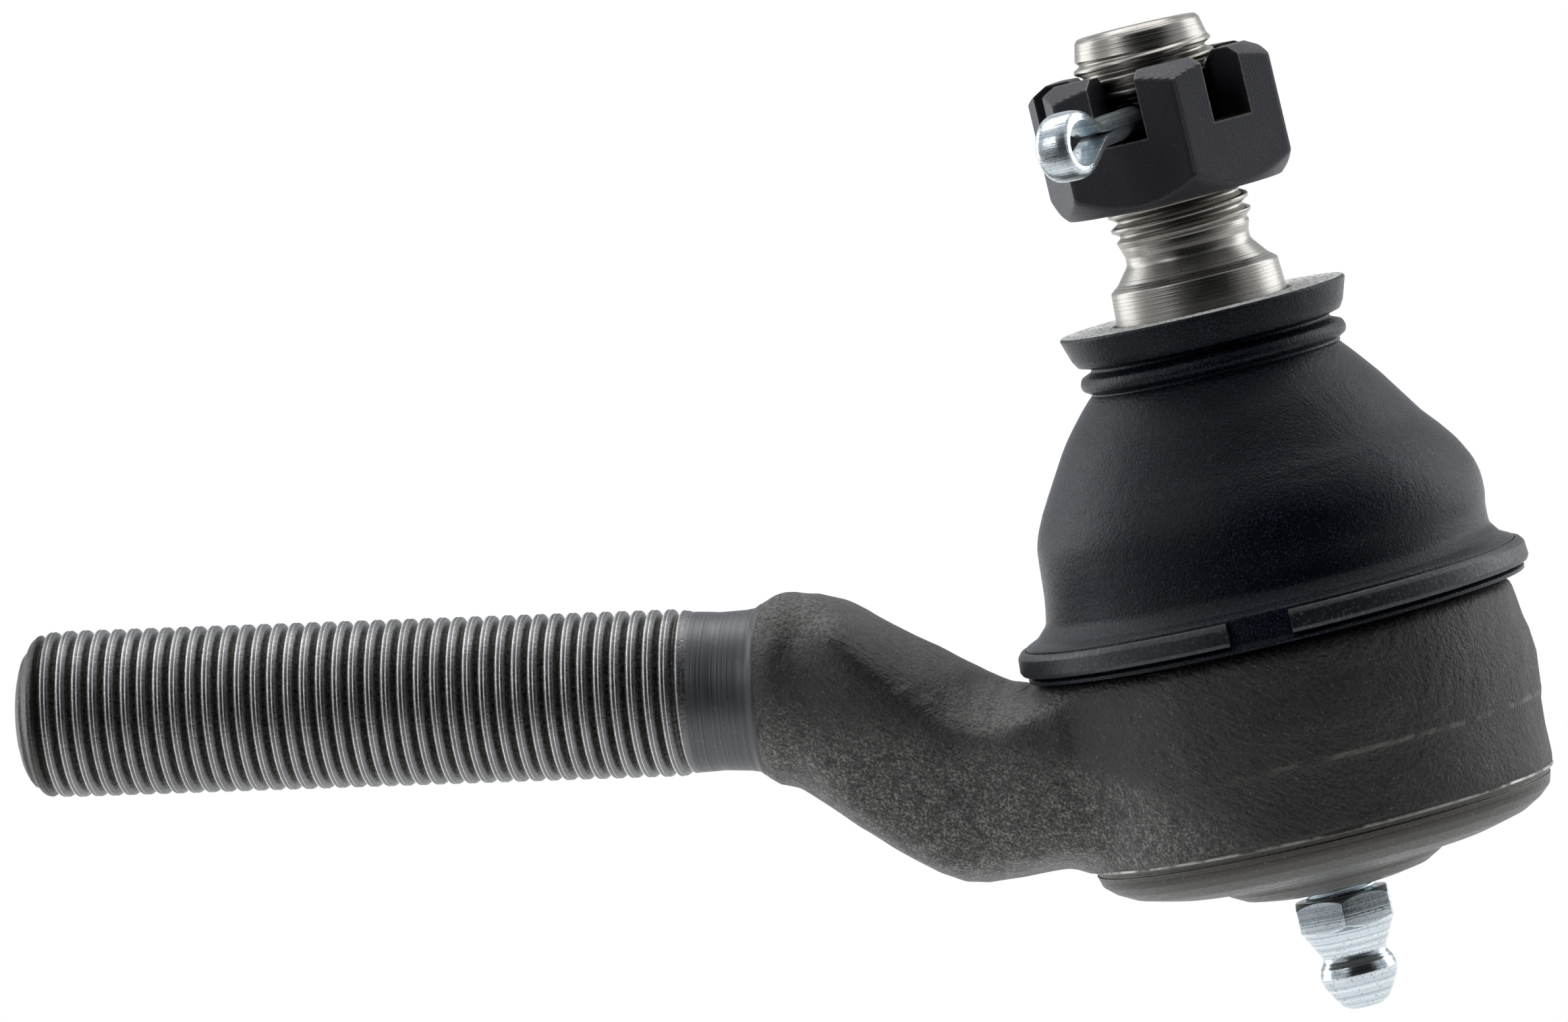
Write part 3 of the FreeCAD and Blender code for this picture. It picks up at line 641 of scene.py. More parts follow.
# %% Rubbed neck
neck_slope = 0.44
rubbed_start, rubbed_full = -4.5, -10.5


def rubbed_group():
    tree, given, out = new_group("rubbed_neck", [("Amount", "Float", 1.0)], ["Mask"])
    where = place_on_part(tree)
    parts = node(tree, "ShaderNodeSeparateXYZ")
    tree.links.new(where, parts.inputs[0])
    line = maths(tree, "MULTIPLY_ADD", parts.outputs["X"], neck_slope, parts.outputs["Z"])
    line = maths(tree, "MULTIPLY_ADD", noise_node(tree, 0.11 / MM, 3.0, 0.6, where), 8.0 * MM, line)
    below = spread(tree, line, rubbed_start * MM, rubbed_full * MM)
    on_neck = spread(tree, parts.outputs["X"], 2.0 * MM, -14.0 * MM)
    broken = spread(tree, noise_node(tree, 0.9 / MM, 5.0, 0.75, where, 0.6), 0.31, 0.57)
    mask = maths(tree, "MULTIPLY", maths(tree, "MULTIPLY", below, on_neck), broken)
    tree.links.new(maths(tree, "MULTIPLY", mask, given["Amount"]), out["Mask"])
    return tree


RUBBED = rubbed_group()
parting_ridge_z = -6.3
rim_top = low("cover_plate").z + 5.85
print("parting line at", parting_ridge_z, "rim from", round(rim_top, 2))

# %% [markdown]
# ## Finishes
# Every finish starts from one Principled shader. A small builder class keeps the wiring readable: `use`
# drops in a group, `tint` mixes two colours by a mask, `level` stretches a mask to a range, and `bump` stacks
# heights.

# %% The builder


class Finish:
    def __init__(self, name, **shader):
        self.material = new_material(name)
        self.tree = self.material.node_tree
        self.shader = node(self.tree, "ShaderNodeBsdfPrincipled", **shader)
        output = node(self.tree, "ShaderNodeOutputMaterial")
        self.tree.links.new(self.shader.outputs[0], output.inputs["Surface"])
        self.normal = None

    def use(self, group, **values):
        made = self.tree.nodes.new("ShaderNodeGroup")
        made.node_tree = group
        for key, value in values.items():
            made.inputs[key.replace("_", " ")].default_value = value
        return made.outputs

    def tint(self, mask, first, second):
        """Goes from first to second as mask goes from 0 to 1. Each is an (r, g, b) or a socket."""
        mix = node(self.tree, "ShaderNodeMix", data_type="RGBA")
        self.tree.links.new(mask, mix.inputs[0])
        for socket, value in ((mix.inputs[6], first), (mix.inputs[7], second)):
            feed(self.tree, (*value, 1) if isinstance(value, tuple) else value, socket)
        return mix.outputs[2]

    def wire(self, socket, name):
        self.tree.links.new(socket, self.shader.inputs[name])

    def bump(self, height, depth_mm):
        made = node(self.tree, "ShaderNodeBump", Distance=depth_mm * MM, Strength=1.0)
        self.tree.links.new(height, made.inputs["Height"])
        if self.normal is not None:
            self.tree.links.new(self.normal, made.inputs["Normal"])
        self.normal = made.outputs[0]
        self.wire(self.normal, "Normal")

    def level(self, socket, at_zero, at_one):
        return spread(self.tree, socket, 0.25, 0.75, at_zero, at_one)


print("finish builder ready")

# %% [markdown]
# The forging's scale is nearly black, grained and wrinkled. Where it faces up it is painted lighter, as light
# from above would fall on it. It is also lighter where it has been rubbed, and along the line where the two
# dies met.

# %% Forged skin


def forged_skin():
    """Dark oiled forging scale, rubbed light on its high spots, with painted light on the faces that point
    up.
    """
    f = Finish("forged_skin", Metallic=0.35, Specular_IOR_Level=0.4)
    grain = f.use(GRAIN, Grain_Size=0.30, Speck_Size=0.24, Speck_Share=0.045)
    hatch = f.use(HATCH, Size=0.42, Stretch=5.0)
    edge = f.use(EDGE, Reach=0.0006, Start=0.03, Full=0.25)
    parting = f.use(LEVEL_LINE, Height=parting_ridge_z, Width=0.34, Wander=0.5, From_X=-6.0)
    base = f.tint(grain["Patches"], (0.034, 0.032, 0.030), (0.072, 0.069, 0.065))
    pitted = f.tint(hatch["Height"], (0.014, 0.013, 0.012), base)
    base = f.tint(f.level(grain["Grain"], -0.2, 1.2), pitted, base)
    # Painted light: faces that point up get a lighter, grained colour, as if lit from above.
    skyward = f.use(FACING, Way=(-0.10, 0.0, 0.99), Start=0.35, Full=1.0)
    painted_top_light = f.tint(f.level(grain["Grain"], -0.6, 1.6), (0.030, 0.029, 0.027), (0.165, 0.160, 0.150))
    base = f.tint(skyward["Mask"], base, painted_top_light)
    rubbed = f.use(RUBBED)["Mask"]
    fine = f.use(GRAIN, Grain_Size=0.17, Speck_Size=0.26, Speck_Share=0.15)
    light = f.tint(f.level(fine["Grain"], -0.5, 1.5), (0.040, 0.038, 0.036), (0.135, 0.130, 0.124))
    light = f.tint(fine["Specks"], light, (0.24, 0.235, 0.22))
    base = f.tint(rubbed, base, light)
    base = f.tint(grain["Specks"], base, (0.13, 0.125, 0.115))
    base = f.tint(edge["Mask"], base, (0.12, 0.115, 0.105))
    base = f.tint(parting["Mask"], base, (0.13, 0.125, 0.115))
    f.wire(base, "Base Color")
    f.wire(f.level(grain["Grain"], 0.38, 0.62), "Roughness")
    f.bump(grain["Grain"], 0.13)
    f.bump(hatch["Height"], 0.16)
    f.bump(grain["Patches"], 0.45)
    return f.material


FORGED = forged_skin()
print("finish:", FORGED.name)

# %% [markdown]
# The rolled thread is burnished on the crests. The flanks that face the free end carry a painted highlight,
# and the roots are dark with their own oxide and with painted shade between the ridges. The neck beside it
# and the spun rim were turned, so both carry tool rings.

# %% Thread, turned neck and rim


def rolled_steel():
    """Rolled thread: burnished crests, a painted highlight on the flanks that face the free end, and roots
    darkened by their own oxide and by painted shade.
    """
    f = Finish("rolled_thread_steel", Metallic=0.9)
    axis = tuple(shank_way)
    grain = f.use(GRAIN, Grain_Size=0.30, Speck_Size=0.30, Speck_Share=0.12)
    crest = f.use(CREST, Axis=axis, Low=crest_r - 0.48, High=crest_r - 0.20)
    # Roots and low flanks: their own dark oxide, kept darker still as painted shade between the ridges.
    base = f.tint(f.level(grain["Grain"], -0.3, 1.3), (0.030, 0.028, 0.025), (0.125, 0.120, 0.108))
    base = f.tint(grain["Specks"], base, (0.12, 0.115, 0.10))
    crown = f.tint(grain["Patches"], (0.060, 0.061, 0.066), (0.27, 0.27, 0.275))
    # Painted highlight: flanks that face the free end, towards the strong light, are made bright.
    flank = f.use(FACING, Way=axis, Start=0.14, Full=0.42)
    bright = f.tint(grain["Patches"], (0.50, 0.495, 0.48), (0.95, 0.94, 0.92))
    crown = f.tint(flank["Mask"], crown, bright)
    base = f.tint(crest["Mask"], base, crown)
    dirty = f.use(ALONG, Axis=axis, Start=105.6, Full=107.4)
    grime = f.tint(grain["Grain"], (0.012, 0.011, 0.010), (0.075, 0.071, 0.063))
    base = f.tint(dirty["Mask"], base, grime)
    f.wire(base, "Base Color")
    f.wire(spread(f.tree, crest["Mask"], 0.0, 1.0, 0.45, 0.9), "Metallic")
    f.wire(f.level(grain["Grain"], 0.20, 0.48), "Roughness")
    f.bump(grain["Grain"], 0.085)
    return f.material


def turned_dark_steel():
    """The plain neck between thread and forging, turned and then darkened."""
    f = Finish("turned_dark_steel", Metallic=0.75)
    rings = f.use(TURNING, Axis=tuple(shank_way), Spacing=0.17)
    grain = f.use(GRAIN, Grain_Size=0.25, Speck_Size=0.4, Speck_Share=0.05)
    base = f.tint(rings["Rings"], (0.055, 0.057, 0.064), (0.15, 0.15, 0.155))
    base = f.tint(grain["Specks"], base, (0.15, 0.145, 0.14))
    f.wire(base, "Base Color")
    f.wire(f.level(rings["Bands"], 0.40, 0.50), "Roughness")
    f.bump(rings["Rings"], 0.03)
    return f.material


def machined_rim_steel():
    """The spun rim: tool rings, and a thin bright burr where the forging's skin was cut."""
    f = Finish("machined_rim_steel", Metallic=0.6)
    rings = f.use(TURNING, Axis=(0, 0, 1), Spacing=0.30)
    grain = f.use(GRAIN, Grain_Size=0.3, Speck_Size=0.24, Speck_Share=0.05)
    edge = f.use(EDGE, Reach=0.00025, Start=0.03, Full=0.25)
    base = f.tint(rings["Rings"], (0.026, 0.024, 0.022), (0.105, 0.100, 0.090))
    base = f.tint(grain["Specks"], base, (0.13, 0.125, 0.11))
    base = f.tint(edge["Mask"], base, (0.30, 0.29, 0.27))
    burr = f.use(LEVEL_LINE, Height=rim_top + 0.12, Width=0.18, Wander=0.1, From_X=-60.0)
    base = f.tint(burr["Mask"], base, (0.46, 0.45, 0.42))
    f.wire(base, "Base Color")
    f.wire(f.level(grain["Grain"], 0.34, 0.52), "Roughness")
    f.bump(rings["Rings"], 0.03)
    f.bump(grain["Patches"], 0.08)
    return f.material


ROLLED, TURNED_DARK, RIM = rolled_steel(), turned_dark_steel(), machined_rim_steel()
print("finishes:", [m.name for m in (ROLLED, TURNED_DARK, RIM)])

# %% [markdown]
# The stud is bare turned steel, painted dark inside the nut as shade in its slots. The fitting and the pin
# are zinc plated, and the nut is black oxide that has worn brown along its edges.

# %% Bright steel, zinc and black oxide


def turned_bright_steel():
    f = Finish("turned_bright_steel", Metallic=1.0)
    rings = f.use(TURNING, Axis=(0, 0, 1), Spacing=0.12)
    grain = f.use(GRAIN, Grain_Size=0.2, Speck_Size=0.3, Speck_Share=0.03)
    base = f.tint(rings["Rings"], (0.19, 0.178, 0.160), (0.54, 0.515, 0.475))
    base = f.tint(grain["Specks"], base, (0.22, 0.18, 0.15))
    # Painted shade: inside the nut, where the slots are in shade, the thread is made nearly black.
    above = f.use(ALONG, Axis=(0, 0, 1), Start=nut_top - 2.4, Full=nut_top - 0.8)
    below = f.use(ALONG, Axis=(0, 0, 1), Start=nut_bottom, Full=nut_bottom + 0.5)
    slot_shade_dark = f.tint(below["Mask"], base, (0.030, 0.028, 0.028))
    base = f.tint(above["Mask"], slot_shade_dark, base)
    f.wire(base, "Base Color")
    f.wire(f.level(grain["Patches"], 0.24, 0.36), "Roughness")
    f.bump(rings["Rings"], 0.020)
    return f.material


def bright_zinc(name, streaks, axis, metallic=0.96):
    f = Finish(name, Metallic=metallic)
    rings = f.use(TURNING, Axis=axis, Spacing=streaks)
    grain = f.use(GRAIN, Grain_Size=0.25, Speck_Size=0.22, Speck_Share=0.09)
    base = f.tint(grain["Patches"], (0.70, 0.78, 0.82), (0.92, 0.93, 0.93))
    broad = f.use(TURNING, Axis=axis, Spacing=streaks * 2.2)["Rings"]
    base = f.tint(f.level(broad, 0.1, 1.0), (0.40, 0.47, 0.52), base)
    base = f.tint(grain["Specks"], base, (0.34, 0.38, 0.41))
    f.wire(base, "Base Color")
    f.wire(f.level(grain["Grain"], 0.13, 0.27), "Roughness")
    f.bump(rings["Rings"], 0.014)
    f.bump(grain["Grain"], 0.008)
    return f.material


def black_oxide():
    f = Finish("black_oxide", Metallic=0.35, Specular_IOR_Level=0.45)
    grain = f.use(GRAIN, Grain_Size=0.20, Speck_Size=0.28, Speck_Share=0.02)
    edge = f.use(EDGE, Reach=0.00028, Start=0.01, Full=0.12)
    base = f.tint(grain["Patches"], (0.020, 0.020, 0.027), (0.044, 0.043, 0.052))
    base = f.tint(grain["Specks"], base, (0.07, 0.065, 0.065))
    base = f.tint(edge["Mask"], base, (0.24, 0.20, 0.165))
    f.wire(base, "Base Color")
    f.wire(f.level(grain["Grain"], 0.36, 0.54), "Roughness")
    f.bump(grain["Grain"], 0.030)
    return f.material


BRIGHT, OXIDE = turned_bright_steel(), black_oxide()
ZINC = bright_zinc("bright_zinc", 0.14, (0, 0, 1))
print("finishes:", [m.name for m in (BRIGHT, OXIDE, ZINC)])

# %% [markdown]
# Rubber is almost black with a blue cast and fine specks that catch the light. The collar's top was trimmed
# with a knife, so it has a rough, paler finish of its own.

# %% Rubber and the band


def boot_rubber():
    f = Finish("boot_rubber", Metallic=0.0, Specular_IOR_Level=0.20)
    grain = f.use(GRAIN, Grain_Size=0.24, Speck_Size=0.17, Speck_Share=0.10)
    base = f.tint(grain["Patches"], (0.0006, 0.0012, 0.0040), (0.0020, 0.0034, 0.0082))
    base = f.tint(grain["Specks"], base, (0.022, 0.032, 0.056))
    f.wire(base, "Base Color")
    f.wire(f.level(grain["Grain"], 0.20, 0.38), "Roughness")
    f.bump(grain["Grain"], 0.075)
    f.bump(grain["Patches"], 0.14)
    return f.material


def cut_rubber():
    f = Finish("cut_rubber", Metallic=0.0, Specular_IOR_Level=0.3)
    grain = f.use(GRAIN, Grain_Size=0.35, Speck_Size=0.30, Speck_Share=0.16)
    base = f.tint(f.level(grain["Grain"], -0.5, 1.5), (0.07, 0.07, 0.07), (0.80, 0.80, 0.77))
    base = f.tint(grain["Specks"], base, (0.88, 0.88, 0.85))
    f.wire(base, "Base Color")
    f.wire(f.level(grain["Grain"], 0.6, 0.85), "Roughness")
    f.bump(grain["Grain"], 0.10)
    return f.material


def ring_finish():
    f = Finish("ring_finish", Metallic=0.0, Specular_IOR_Level=0.5)
    grain = f.use(GRAIN, Grain_Size=0.4, Speck_Size=0.30, Speck_Share=0.09)
    edge = f.use(EDGE, Reach=0.0002, Start=0.03, Full=0.3)
    base = f.tint(grain["Patches"], (0.0045, 0.0055, 0.0085), (0.0095, 0.011, 0.0155))
    base = f.tint(grain["Specks"], base, (0.05, 0.052, 0.058))
    base = f.tint(edge["Mask"], base, (0.045, 0.046, 0.050))
    f.wire(base, "Base Color")
    f.wire(f.level(grain["Grain"], 0.34, 0.50), "Roughness")
    f.bump(grain["Grain"], 0.045)
    return f.material


RUBBER, CUT, RING = boot_rubber(), cut_rubber(), ring_finish()
print("finishes:", [m.name for m in (RUBBER, CUT, RING)])

# %% [markdown]
# ## The forged housing
# The cup and the drop neck were squeezed from one hot bar, so they flow into each other. That flow is hard to
# draw face by face. It is easy to say as a formula: how far is a point from the cup, how far from the neck,
# and a soft minimum of the two. A coarse skin is made first by joining two rough meshes with a voxel remesh.
# Its points then slide onto the formula's surface, which leaves even faces and a clean fillet.
#
# First the measures. The neck's are taken at stations along the shank's axis, which rises from the cup: how
# high its top and bottom lie over that axis, and half its width.

# %% Measures of the cup and neck
shoulder_z = boot_bottom - 0.35
neck_start, neck_end = 8.0, 44.7
neck_blend = 2.4
neck_stations = np.array([
    # along, top, bottom, half width, drop from the top line to the crease
    (45.5, 7.10, -7.10, 7.10, 0.0),
    (44.8, 7.44, -7.44, 7.44, 0.0),
    (44.5, 7.57, -7.57, 7.57, 0.0),
    (43.7, 8.05, -8.08, 8.05, 0.0),
    (42.9, 8.28, -8.25, 8.30, 0.0),
    (42.0, 8.28, -8.48, 8.35, 0.0),
    (40.0, 7.90, -9.70, 8.50, 0.5),
    (38.0, 6.92, -10.90, 8.80, 1.2),
    (36.0, 5.75, -12.10, 9.05, 2.0),
    (34.0, 4.68, -13.48, 9.3, 2.8),
    (32.0, 3.68, -14.72, 9.5, 3.6),
    (30.0, 2.70, -15.80, 9.8, 4.2),
    (28.0, 1.55, -16.58, 10.1, 4.3),
    (26.0, 0.30, -16.72, 10.5, 3.7),
    (24.0, -0.70, -16.35, 11.0, 2.8),
    (22.0, -1.15, -16.02, 11.6, 1.7),
    (18.0, -0.40, -15.40, 12.4, 1.0),
    (12.0, 0.80, -14.50, 12.0, 1.0),
    (8.0, 1.60, -13.70, 10.0, 1.0),
])[::-1]


def cup_radius(z):
    """Forged side: a little barrel-shaped, with a step where the dies met."""
    above = np.clip((z - parting_ridge_z) / 0.5, 0, 1)
    side = np.interp(z, [-13.5, -12.0, -10.0, -7.0, -5.5, -3.0, -1.0, 0.0, 2.0, 3.0, 4.2],
                     [19.98, 20.14, 20.18, 20.32, 20.55, 20.78, 20.58, 20.34, 20.1, 20.0, 19.4])
    ridge = 0.13 * np.exp(-((z - parting_ridge_z) / 0.28) ** 2)
    return side + 0.06 * above * (3 - 2 * above) * above + ridge


print("cup radius at the parting line", round(float(cup_radius(parting_ridge_z)), 2))

# %% [markdown]
# Then the formula. Each field is negative inside and positive outside, in about millimetres. `soft_max` keeps
# a little roundness where two limits meet, and `housing_field` blends cup and neck into each other.

# %% The formula


def soft_max(a, b, reach):
    return 0.5 * (a + b + np.sqrt((a - b) ** 2 + reach ** 2) - 0.35 * reach)


def neck_field(p):
    """About how far each point lies outside the neck, in millimetres.

    Near the shank the neck is round. Further in, its top is a low roof that meets the flat sides at a crease.
    """
    along = p @ np.array(shank_way)
    rise = p @ np.array(shank_up)
    stations = neck_stations.T
    top, bottom, wide, drop = (np.interp(along, stations[0], column) for column in stations[1:])
    middle, tall = (top + bottom) / 2, (top - bottom) / 2
    square = np.interp(along, (34.0, 41.0), (2.9, 2.05))
    across = np.abs(p[:, 1]) / wide
    form = (across ** square + np.abs((rise - middle) / tall) ** square) ** (1 / square)
    rounded_form = (form - 1) * np.minimum(wide, tall)
    roof = (rise - top + drop * across ** 1.7) * 0.90
    sides = np.abs(p[:, 1]) - wide
    floor_curve = bottom - rise + 1.2 * across ** 2
    forged_form = soft_max(soft_max(roof, sides, 1.1), floor_curve, 4.0)
    share = np.clip((41.5 - along) / 5.5, 0, 1)
    share = share * share * (3 - 2 * share)
    joined = rounded_form * (1 - share) + forged_form * share
    return np.maximum(joined, np.maximum(along - neck_end, neck_start - along))


def cup_field(p):
    r = np.hypot(p[:, 0], p[:, 1])
    side = r - cup_radius(p[:, 2])
    over, under = p[:, 2] - shoulder_z, rim_top - p[:, 2]
    edge = 0.5
    caps = np.maximum(over, under)
    both = np.maximum(side + edge, 0) ** 2 + np.maximum(caps + edge, 0) ** 2
    return np.minimum(np.maximum(side, caps) + edge, 0) + np.sqrt(both) - edge


def housing_field(p):
    a, b = cup_field(p), neck_field(p)
    near = np.clip(0.5 + 0.5 * (b - a) / neck_blend, 0, 1)
    joined = b * (1 - near) + a * near - neck_blend * near * (1 - near)
    free = 30 * (p[:, 0] < -19.0)  # beyond the cup's wall its top and bottom planes no longer cut
    return np.maximum(joined, np.maximum(p[:, 2] - shoulder_z, rim_top - p[:, 2]) - free)


on_axis = np.array([[0.0, 0.0, -8.0], list(shank_way * 30)])
print("field inside the cup and the neck", housing_field(on_axis).round(1))

# %% [markdown]
# Now the skin. It starts as a rough barrel and bar, and then slides. Each round moves every point half way to
# the middle of its neighbours and back onto the surface. The last rounds only settle the points.

# %% Rough skin and the slide
voxel = 0.42


def rough_forging():
    """The cup as a barrel and the neck as a square-cornered bar, still as two meshes."""
    heights = np.linspace(rim_top, shoulder_z, 9)
    cup_line = [(0, rim_top)] + [(float(cup_radius(z)), z) for z in heights] + [(0, shoulder_z)]
    around, square = 32, 3.0
    rings = []
    for along, top, bottom, wide, _ in neck_stations:
        ring = []
        for turn in np.linspace(0, 2 * math.pi, around, endpoint=False):
            c, s = math.cos(turn), math.sin(turn)
            h = (top + bottom) / 2 + (top - bottom) / 2 * math.copysign(abs(s) ** (2 / square), s)
            spot = shank_way * float(along) + shank_up * float(h)
            ring.append((spot.x, wide * math.copysign(abs(c) ** (2 / square), c), spot.z))
        rings.append(ring)
    return joined(spun(cup_line, 64, False), swept(rings))


def slope_at(p, step=0.02):
    """Which way, and how steeply, the housing's formula rises at each point."""
    ways = [step * axis for axis in np.eye(3)]
    return np.stack([(housing_field(p + way) - housing_field(p - way)) / (2 * step) for way in ways], 1)


def slid_onto(points, edges, rounds=14):
    """Evens the points out and moves them onto the surface where the formula is zero."""
    p = points.copy()
    first, second = edges[:, 0], edges[:, 1]
    count = np.bincount(first, minlength=len(p)) + np.bincount(second, minlength=len(p))
    for turn in range(rounds):
        total = np.zeros_like(p)
        np.add.at(total, first, p[second])
        np.add.at(total, second, p[first])
        even = total / count[:, None]
        if turn < rounds - 3:
            p += (even - p) * 0.5
        for _ in range(2):
            value = housing_field(p)
            slope = slope_at(p)
            size = np.maximum((slope ** 2).sum(1), 0.2)
            move = slope * (value / size)[:, None]
            length = np.linalg.norm(move, axis=1, keepdims=True)
            p -= move * np.minimum(1, 0.6 / np.maximum(length, 1e-9))
    return p


print("voxel", voxel, "mm")

# %% [markdown]
# A drop hammer never leaves a true surface, so low waves of a few hundredths go on last.

# %% Forging the housing


def forging_waves(p):
    """Low, uneven dents of a few hundredths, as a drop hammer leaves them."""
    wave = np.zeros(len(p))
    for k, (size, height) in enumerate(((6.5, 0.055), (3.1, 0.03), (1.7, 0.014))):
        turn = 1.3 * k + 0.7
        a = p @ np.array([math.cos(turn), math.sin(turn), 0.4]) / size
        b = p @ np.array([-math.sin(turn), 0.5 * math.cos(turn), 0.8]) / size
        c = p @ np.array([0.3, -0.8, 0.6 + 0.2 * k]) / size
        wave += height * (np.sin(a * 2.1 + 1.7 * np.sin(b * 1.3)) + np.sin(c * 2.4 + 1.3 * np.sin(a * 1.1)))
    return wave


def forge_housing():
    points, faces = rough_forging()
    rough = make_piece("rough_forging", points, faces, None, FORGED)
    remesh = rough.modifiers.new("skin", "REMESH")
    remesh.mode = "VOXEL"
    remesh.voxel_size = voxel * MM
    skin = bpy.data.meshes.new_from_object(rough.evaluated_get(bpy.context.evaluated_depsgraph_get()))
    bpy.data.objects.remove(rough)
    p = np.empty(len(skin.vertices) * 3)
    skin.vertices.foreach_get("co", p)
    edges = np.empty(len(skin.edges) * 2, int)
    skin.edges.foreach_get("vertices", edges)
    p = slid_onto(p.reshape(-1, 3) / MM, edges.reshape(-1, 2))
    slope = slope_at(p)
    slope /= np.maximum(np.linalg.norm(slope, axis=1, keepdims=True), 1e-9)
    p += slope * (forging_waves(p) - 0.05)[:, None]
    skin.vertices.foreach_set("co", (p * MM).ravel())
    skin.name = "housing_forging"
    skin.update()
    skin.shade_smooth()
    piece = bpy.data.objects.new("housing_forging", skin)
    bpy.context.scene.collection.objects.link(piece)
    skin.materials.clear()
    skin.materials.append(FORGED)
    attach(piece, "housing")
    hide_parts("housing")
    print("housing_forging", len(skin.polygons), "faces")


forge_housing()

# %% [markdown]
# The bottom of the cup was machined and then spun over the cover plate. That part is crisp, so it is a plain
# lathe piece, and so is the mouth at the top, where the boot's lip is held.

# %% Rim and mouth


def cup_rim():
    bottom = low("housing").z
    outline = rounded([
        (15.6, rim_top + 0.9, 0), (19.4, rim_top + 0.9, 0),
        (20.02, rim_top + 0.30, 0.04), (20.08, rim_top + 0.04, 0.04),  # burr
        (19.72, rim_top - 0.02, 0.04), (19.70, rim_top - 0.25, 0.04),
        (19.55, rim_top - 0.32, 0.03), (19.55, rim_top - 0.44, 0.03),  # tool groove
        (19.68, rim_top - 0.50, 0.04), (19.40, -14.15, 0.5),
        (18.5, -14.95, 1.0), (17.1, -15.72, 1.2), (15.1, -16.25, 1.6),  # spun lip
        (13.9, bottom, 0.5), (13.35, bottom + 0.25, 0.2),
        (13.35, bottom + 0.9, 0), (15.6, bottom + 0.9, 0)], closed=True)
    piece = lathe("housing_rim", outline, "housing", RIM)
    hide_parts("housing")


def cup_mouth():
    top = high("housing").z if high("housing").z < 15 else 8.0
    outline = rounded([
        (15.4, shoulder_z - 4.0, 0), (19.0, shoulder_z - 4.0, 0),
        (19.3, shoulder_z - 0.05), (18.2, shoulder_z - 0.05, 0.1),
        (18.2, top - 1.3, 0.1), (18.75, top - 1.0), (18.75, top - 0.1, 0.3),
        (18.4, top, 0.2), (12.8, top, 0.2),
        (12.2, top - 1.8, 0.3), (15.4, top - 4.0, 0.2)], closed=True)
    piece = lathe("housing_mouth", outline, "housing", RIM)
    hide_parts("housing")


cup_rim()
cup_mouth()

# %% [markdown]
# ## The threaded shank
# The shank's thread was rolled, not cut: the metal was squeezed up from both sides into each crest, and where
# the two sides met a fine seam is left along the top.

# %% Shank
shank_pitch = 25.4 / 18
shank_depth = 0.74
shank_columns = 112
thread_near, shank_far = 50.6, 109.12
# How far out the thread may reach near the free end: (places along the shank), (radius there).
end_line = ((106.9, 107.6, 108.1, 108.5, 108.8, 109.12), (7.12, 6.75, 6.30, 5.75, 5.15, 4.1))


def on_shank(turn, along, radius):
    spot = shank_way * along + shank_up * (radius * math.cos(turn))
    return (spot.x, radius * math.sin(turn), spot.z)


def shank_radius(along, share):
    height = thread_form(share, root=0.07, crest=0.40, seam=0.13)
    fade = min(max((along - thread_near) / 1.6, 0), 1)
    r = crest_r - shank_depth + shank_depth * height
    r = (crest_r - 0.30) * (1 - fade) + r * fade
    worn = 0.22 * max(0.0, 1 - (shank_far - along) / 4.5)
    return min(r - worn, float(np.interp(along, *end_line)) - 0.26 * (1 - height))


def threaded_shank():
    end_r = end_line[1][-1]
    end_face = [(end_r - 0.02, shank_far), (end_r - 0.5, shank_far),
                (end_r - 1.5, shank_far + 0.05), (0, shank_far + 0.05)]
    wound = wound_skin(thread_near, shank_far, shank_pitch, shank_radius, shank_columns, 16, on_shank)
    points, faces = joined(wound, spun(end_face, shank_columns, False, on_shank))
    piece = make_piece("housing_shank_thread", points, faces, "housing", ROLLED, 60)
    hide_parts("housing")


def turned_neck():
    outline = rounded([
        (4.0, 44.0, 0), (7.34, 44.2, 0.1), (7.32, 44.9, 0.2), (6.98, 45.35, 0.6), (6.84, 46.2, 1),
        (6.73, 48.4, 4), (6.80, 49.6, 2), (6.84, 50.65, 0.05), (4.0, 50.9, 0)], closed=True)
    piece = lathe("housing_turned_neck", outline, "housing", TURNED_DARK, shank_columns,
                  at=on_shank)
    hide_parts("housing")


threaded_shank()
turned_neck()

# %% [markdown]
# ## The rubber boot
# The boot is one soft moulding. Its lip is held on the housing and its collar grips the stud. The dome
# between them bends as the stud swings. Here it is made as a lower and an upper half.

# %% Dome
dome_seam_z = 17.6
wall_thickness, wall_thinning = 1.9, 0.5
boot_columns = 192


def sat_over(piece):
    """A soft boot never sits quite true: its bulge leans to one side and its shoulder to the other."""
    heights = [7.0, 8.0, 10.0, 11.0, 12.0, 13.0, 14.0, 15.0, 16.0, 17.0, 18.0, 19.0, 22.0, 24.0, 26.0, 27.5]
    shifts = [0, 0.15, 0.37, 0.53, 0.60, 0.60, 0.51, 0.34, 0.22, 0.09, -0.05, -0.18, -0.27, -0.28, -0.2, 0]
    aside = Vector((math.cos(view_turn), math.sin(view_turn), 0))
    for vertex in piece.data.vertices:
        vertex.co += aside * float(np.interp(vertex.co.z / MM, heights, shifts)) * MM


